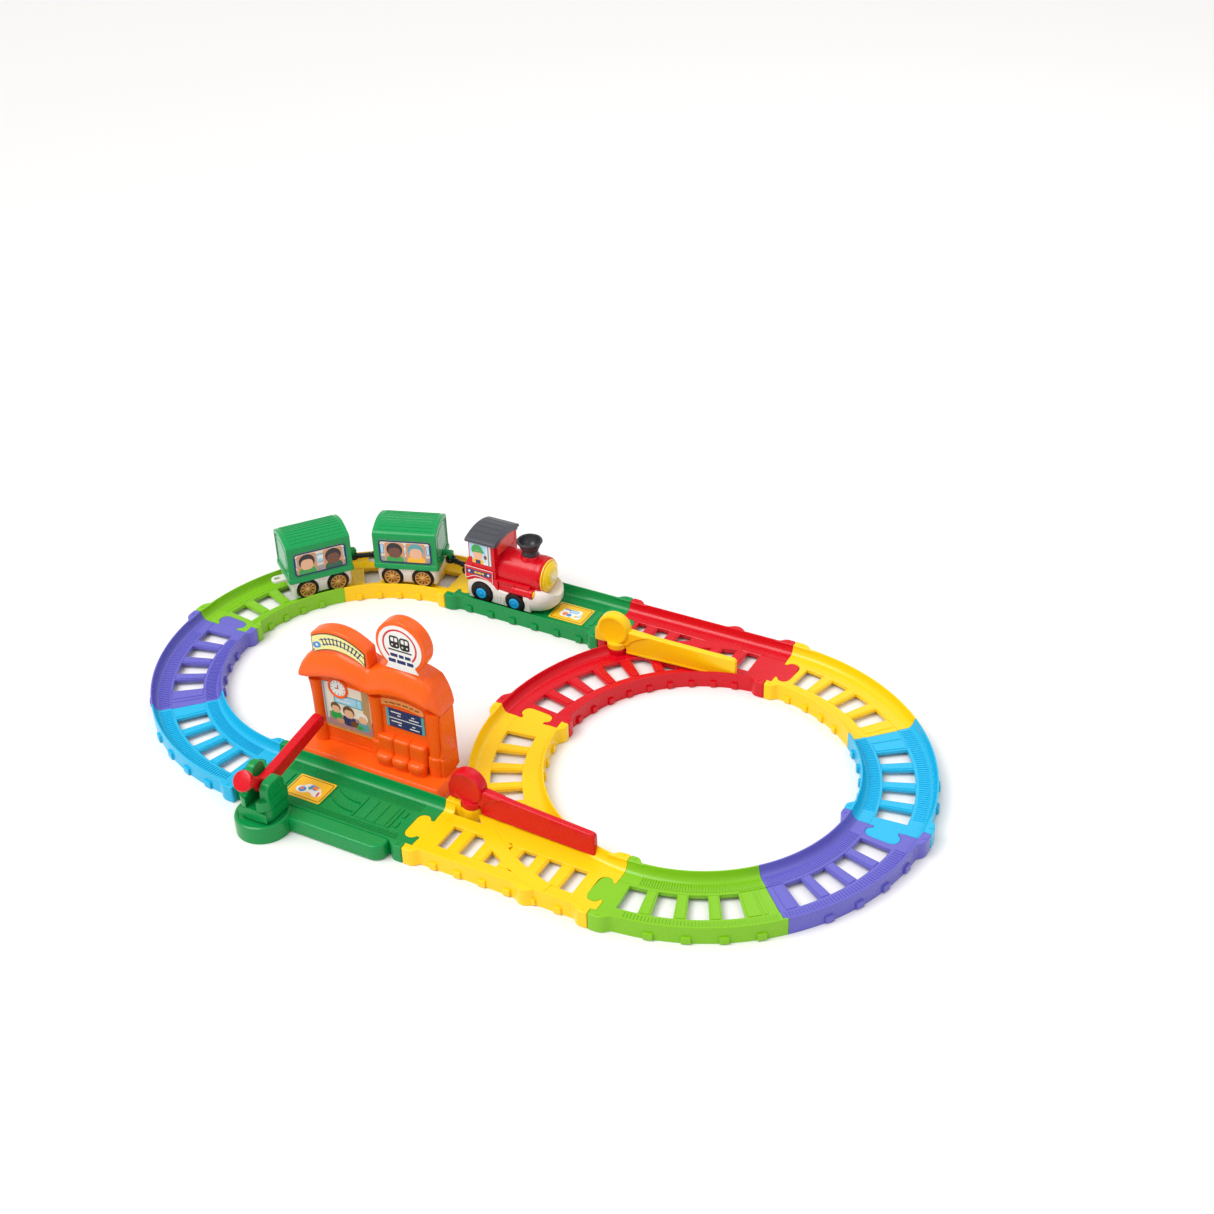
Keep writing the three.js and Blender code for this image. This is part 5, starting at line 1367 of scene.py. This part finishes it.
def carriage_shell(name, place):
    green = PLASTIC["carriage_green"]
    shell = Piece(f"moulded_{name}_shell", green, PLASTIC["carriage_pale"])
    skin_outline = car_section(0, 38.4)
    outer = prism(skin_outline, -43.5, 43.5, axis="x", soft=1.3, steps=3)
    room = prism(car_section(2.6, 30), -40.9, 40.9, axis="x", soft=0)
    recess = car_section(4.6, 46.5)
    shell.add(carved(outer, room, prism(recess, 42.2, 50, axis="x", soft=0),
                     prism(recess, -50, -42.2, axis="x", soft=0)))
    for way in (1, -1):
        a, b = sorted((way * 42.0, way * 42.9))
        shell.add(prism(car_section(6.6, 49), a, b, axis="x", soft=0.4), material=1)
        a, b = sorted((way * 42.6, way * 43.3))
        shell.add(ribbon(car_section(9.8, 52.5), 0.9, a, b, axis="x"))
    shell.add(stacked(-44.6, 44.6, -32.4, 32.4, 3,
                      [(0.8, 38.0), (0, 38.8), (0, 43.2), (0.6, 44.6), (1.6, 45.4)]))
    roof = sorted((y, z) for y, z in skin_outline if z > 91.0)
    for k in range(-4, 5):
        y = 5.9 * k
        before, here, after = (height_on_line(roof, y + step) for step in (-1, 0, 1))
        rib = stacked(-37, 37, -1.1, 1.1, 1.0, [(0, -0.8), (0, 0.35), (0.5, 0.75)], steps=2)
        lean = Matrix.Rotation(math.atan2(after - before, 2), 4, "X")
        shell.add(moved(rib, Matrix.Translation((0, y, here)) @ lean))
    hook = curve_points((42.2, 45.4), (50.8, 45.4), (50.8, 33.6), (55.2, 33.6), (55.4, 44.6),
                        (57.9, 45, 57.9, 47.4), (57.8, 52, 53.6, 52.4), (42.2, 52.4), steps=4)
    hook_top = [(42.4, 46), (57, 46), (57.4, 51), (54, 52), (42.4, 52)]
    shell.add(prism(hook, -2.6, 2.6, axis="y", soft=0.9), prism(hook_top, -4, 4, axis="y", soft=1.2))
    shell.move(place)
    shell.finish(name, [f"{name}_shell"], "carriage_green")


def carriage_windows(name, place, faces):
    forward = place.to_3x3() @ Vector((1, 0, 0))
    centre = place @ Vector((0, 0, 65))
    view = printed(f"{name}_window_print", INKS["wall"], faces, tuple(centre), tuple(forward))
    panes = Piece(f"printed_{name}_windows", view, PLASTIC["navy"])
    outline = rounded_rectangle(-35.5, 36, 47.8, 82.2, 5.0, 6)
    panes.add(*both_sides(lambda: prism(outline, 30.4, 31.5, axis="y", soft=0.2)))
    panes.add(*both_sides(lambda: ribbon(outline, 2.0, 31.3, 31.8, axis="y")), material=1)
    panes.move(place)
    panes.finish(name, slot="print_white")


def carriage_chassis(name, place):
    frame_piece = Piece(f"moulded_{name}_chassis", PLASTIC["white"])
    block_shape = stacked(-41.5, 41.5, -29.4, 29.4, 5,
                          [(4.5, 13.6), (1.6, 16), (0.4, 22), (0, 30), (0, 37.6), (0.4, 38)])
    wells = [rod_y(x, CAR_AXLE_Z, 15.3, y0, y1) for x in (-CAR_AXLE_X, CAR_AXLE_X) for y0,
             y1 in ((22.3, 40), (-40, -22.3))]
    frame_piece.add(carved(block_shape, block(-38, 38, -20, 20, 17, 50, soft=0), *wells,
                           *[rod_y(x, CAR_AXLE_Z, 2.3, -24, 24) for x in (-CAR_AXLE_X, CAR_AXLE_X)]))
    loop = [(-40, -7.5), (-40, 7.5), *round_points(-54, 0, 7.5, 90, 270, 14)]
    eye = turned([(0, 29), (3.4, 29), (3.4, 36), (0, 36)], (-52, 0, 0), sides=28)
    slot_cut = prism([(-52, -3.2), (-52, 3.2), *round_points(-55, 0, 3.2, 90, 270, 10)], 29, 36, soft=0)
    frame_piece.add(carved(prism(loop, 30.5, 34.2, soft=0.9), eye, slot_cut))
    frame_piece.add(*both_sides(lambda: block(-6, 6, 28.6, 29.9, 18, 33, soft=0.5)))
    frame_piece.move(place)
    frame_piece.finish(name, [f"{name}_chassis"], "white")


def carriage_wheels(name, place):
    for end, x in (("front", CAR_AXLE_X), ("rear", -CAR_AXLE_X)):
        node_name = f"{name}_{end}_wheels"
        wheels = Piece(f"moulded_{node_name}", PLASTIC["black"], PLASTIC["hub_wood"], STEEL,
                       PLASTIC["hub_shade"])
        for way in (1, -1):
            turn = wheel_place(x, CAR_AXLE_Z, way)
            profile = [(10.9, 24.6), (12.8, 24), (13.8, 25), (14, 26.4), (14, 29.6), (13.5, 31.2),
                       (12.4, 31.9), (11.2, 31.6), (10.9, 30.6), (10.9, 24.6)]
            wheels.add(moved(turned(profile, (0, 0, 0), sides=56), turn))
            wheels.add(moved(turned([(0, 25), (11.1, 25), (11.1, 29.4), (0, 29.6)], (0, 0, 0), sides=40),
                             turn), material=3)
            rim = [(9.2, 28), (11.1, 28), (11.1, 30.6), (10.6, 31.1), (9.6, 31.0), (9.2, 30.2), (9.2, 28)]
            wheels.add(moved(turned(rim, (0, 0, 0)), turn), material=1)
            spoke = block(-4.2, 4.4, -0.95, 0.95, 28.5, 30.6, soft=0.3)
            wheels.add(moved(ring(spoke, 5.4, 10, PLASTIC["hub_wood"]), turn), material=1)
            cap = [(0, 28), (3.4, 28), (3.4, 31.0), (2.8, 31.8), (1.2, 32.2), (0, 32.3)]
            wheels.add(moved(turned(cap, (0, 0, 0), sides=28), turn), material=1)
        wheels.add(rod_y(x, CAR_AXLE_Z, 1.7, -27, 27, 20), material=2)
        wheels.move(place)
        wheels.finish(node_name, [node_name], "black")


def carriage(name, degrees, faces):
    place = carriage_place(degrees)
    carriage_shell(name, place)
    carriage_windows(name, place, faces)
    carriage_chassis(name, place)
    carriage_wheels(name, place)


def seats(*people):
    picture = [("sky", -31, 4, 2.2, 7, 1), ("sky", 31.5, 4, 2.2, 7, 1), ("cream", 0, 13, 34, 2.4),
               ("sky", 0, 4, 7, 6, 0.8), ("white", 1, 5, 4, 2, 1.6), ("leaf", 9, 9, 3, 3, 2),
               ("grey", 0, -12, 34, 4.5), ("navy", -31, 4, 2.2, 7, 1, 0, 0.7),
               ("navy", 31.5, 4, 2.2, 7, 1, 0, 0.7), ("navy", 0, 4, 7, 6, 0.8, 0, 0.6)]
    for x, tone, hair, coat in people:
        picture += [("tan", x, -1, 13.5, 15, 4), *figure(x, 0.5, 12.6, tone, hair, coat)]
    return picture


carriage("carriage_2", 109.0, seats((-14, "skin_dark", "black", "leaf"), (15, "skin_light", "teal", "gold")))
carriage("carriage_1", 142.5,
         seats((-18, "skin_light", "black", "leaf"), (18, "skin_dark", "black", "dark_green")))


def coupler_link(name, body, x, y, degrees):
    """A round black bar with a flat eye at its far end, drawn about its pivot."""
    link = Piece(f"moulded_{name}", PLASTIC["black_plastic"])
    far = -29.3
    link.add(turned([(4.7, 36.2), (6.6, 36.0), (7.2, 36.8), (7.2, 41.4), (6.6, 42), (4.7, 42), (4.7, 36.2)],
                    (far, 0, 0), sides=36))
    link.add(turned([(0, 36), (4.6, 36), (5.2, 36.8), (5.2, 41.4), (4.6, 42), (0, 42)], (0, 0, 0), sides=32))
    link.add(turned([(0, 29), (2.2, 29), (2.3, 29.6), (2.3, 37), (0, 37)], (0, 0, 0), sides=24))
    bar = [(0, far + 5.4), (2.6, far + 5.6), (3.3, far + 7), (3.3, -6), (2.8, -3.4), (0, -3.2)]
    link.add(turned(bar, (0, 0, 39), axis="x", sides=28))
    for x0 in (far + 9, -8):
        link.add(turned([(0, x0), (3.8, x0), (3.9, x0 + 0.4), (3.9, x0 + 1.6), (3.8, x0 + 2), (0, x0 + 2)],
                        (0, 0, 39), axis="x", sides=28))
    place = Matrix.Translation((x, y, 0)) @ Matrix.Rotation(math.radians(degrees), 4, "Z")
    link.move(place)
    link.finish(body, [name], "black")


coupler_link("carriage_2_link", "carriage_2_link", -224, 225, -9.8)
coupler_link("carriage_1_link", "carriage_1_link", -352.42, 195.81, 35.1)


# ---- floor, light and camera ----
def studio():
    bpy.ops.mesh.primitive_plane_add(size=14, location=(0, 0, -0.0002))
    floor = bpy.context.object
    floor.name = "studio_floor"
    material, _, shader = blank_material("pale_floor")
    shader.inputs["Base Color"].default_value = (0.86, 0.85, 0.84, 1)
    shader.inputs["Roughness"].default_value = 0.85
    floor.data.materials.append(material)
    world = bpy.data.worlds.new("studio")
    bpy.context.scene.world = world
    world.use_nodes = True
    world.node_tree.nodes["Background"].inputs["Color"].default_value = (1.0, 0.99, 0.98, 1)
    world.node_tree.nodes["Background"].inputs["Strength"].default_value = 0.66
    for name, place, size, power in [("key", (-0.9, -1.1, 2.2), 1.2, 15), ("fill", (1.8, -0.4, 1.7), 1.4, 6),
                                     ("rim", (0.2, 1.9, 1.8), 1.6, 6)]:
        lamp = bpy.data.lights.new(name, "AREA")
        lamp.energy, lamp.size = power, size
        holder = bpy.data.objects.new(name, lamp)
        bpy.context.scene.collection.objects.link(holder)
        holder.location = place
        holder.rotation_euler = (Vector((0, 0, 0)) - Vector(place)).to_track_quat("-Z", "Y").to_euler()
    sun = bpy.data.lights.new("window", "SUN")
    sun.energy, sun.angle = 1.55, math.radians(45)
    holder = bpy.data.objects.new("window", sun)
    bpy.context.scene.collection.objects.link(holder)
    holder.rotation_euler = (math.radians(24), math.radians(-20), 0)
    bpy.context.scene.view_settings.view_transform = "Standard"


def camera():
    """Stands in front of the set, to its right, and looks down at it."""
    place = Vector((921.90, -1458.79 + SHIFT, 1303.46)) / 1000
    target = Vector((-37.5, 270.2 + SHIFT, 0)) / 1000
    roll = math.radians(-1.758)
    forward = (target - place).normalized()
    level = forward.cross(Vector((0, 0, 1))).normalized()
    above = level.cross(forward)
    right = math.cos(roll) * level + math.sin(roll) * above
    up = -math.sin(roll) * level + math.cos(roll) * above
    data = bpy.data.cameras.new("camera")
    data.sensor_width = 36.0
    data.lens = 53.065
    data.clip_start, data.clip_end = 0.05, 50
    made = bpy.data.objects.new("camera", data)
    bpy.context.scene.collection.objects.link(made)
    made.matrix_world = Matrix((right, up, -forward)).transposed().to_4x4()
    made.location = place
    bpy.context.scene.camera = made


studio()
camera()

INNER = {"steel": STEEL, "brass": BRASS,
         "circuit_green": plastic("circuit_board_mask", (0.010, 0.120, 0.045), gloss=0.3),
         "cell_wrap": plastic("cell_wrap_foil", (0.035, 0.150, 0.420), gloss=0.25),
         "clear": plastic("frosted_lamp", (0.85, 0.84, 0.78), gloss=0.15),
         "black": PLASTIC["black_plastic"]}

for name, item in frame["nodes"].items():
    if item.hide_render:
        continue
    slot = next(s["material_slot"] for s in frame["record"]["subparts"] if s["node"] == name)
    finish = INNER.get(slot) or PLASTIC.get(slot, PLASTIC["white"])
    item.data.materials.clear()
    item.data.materials.append(finish)
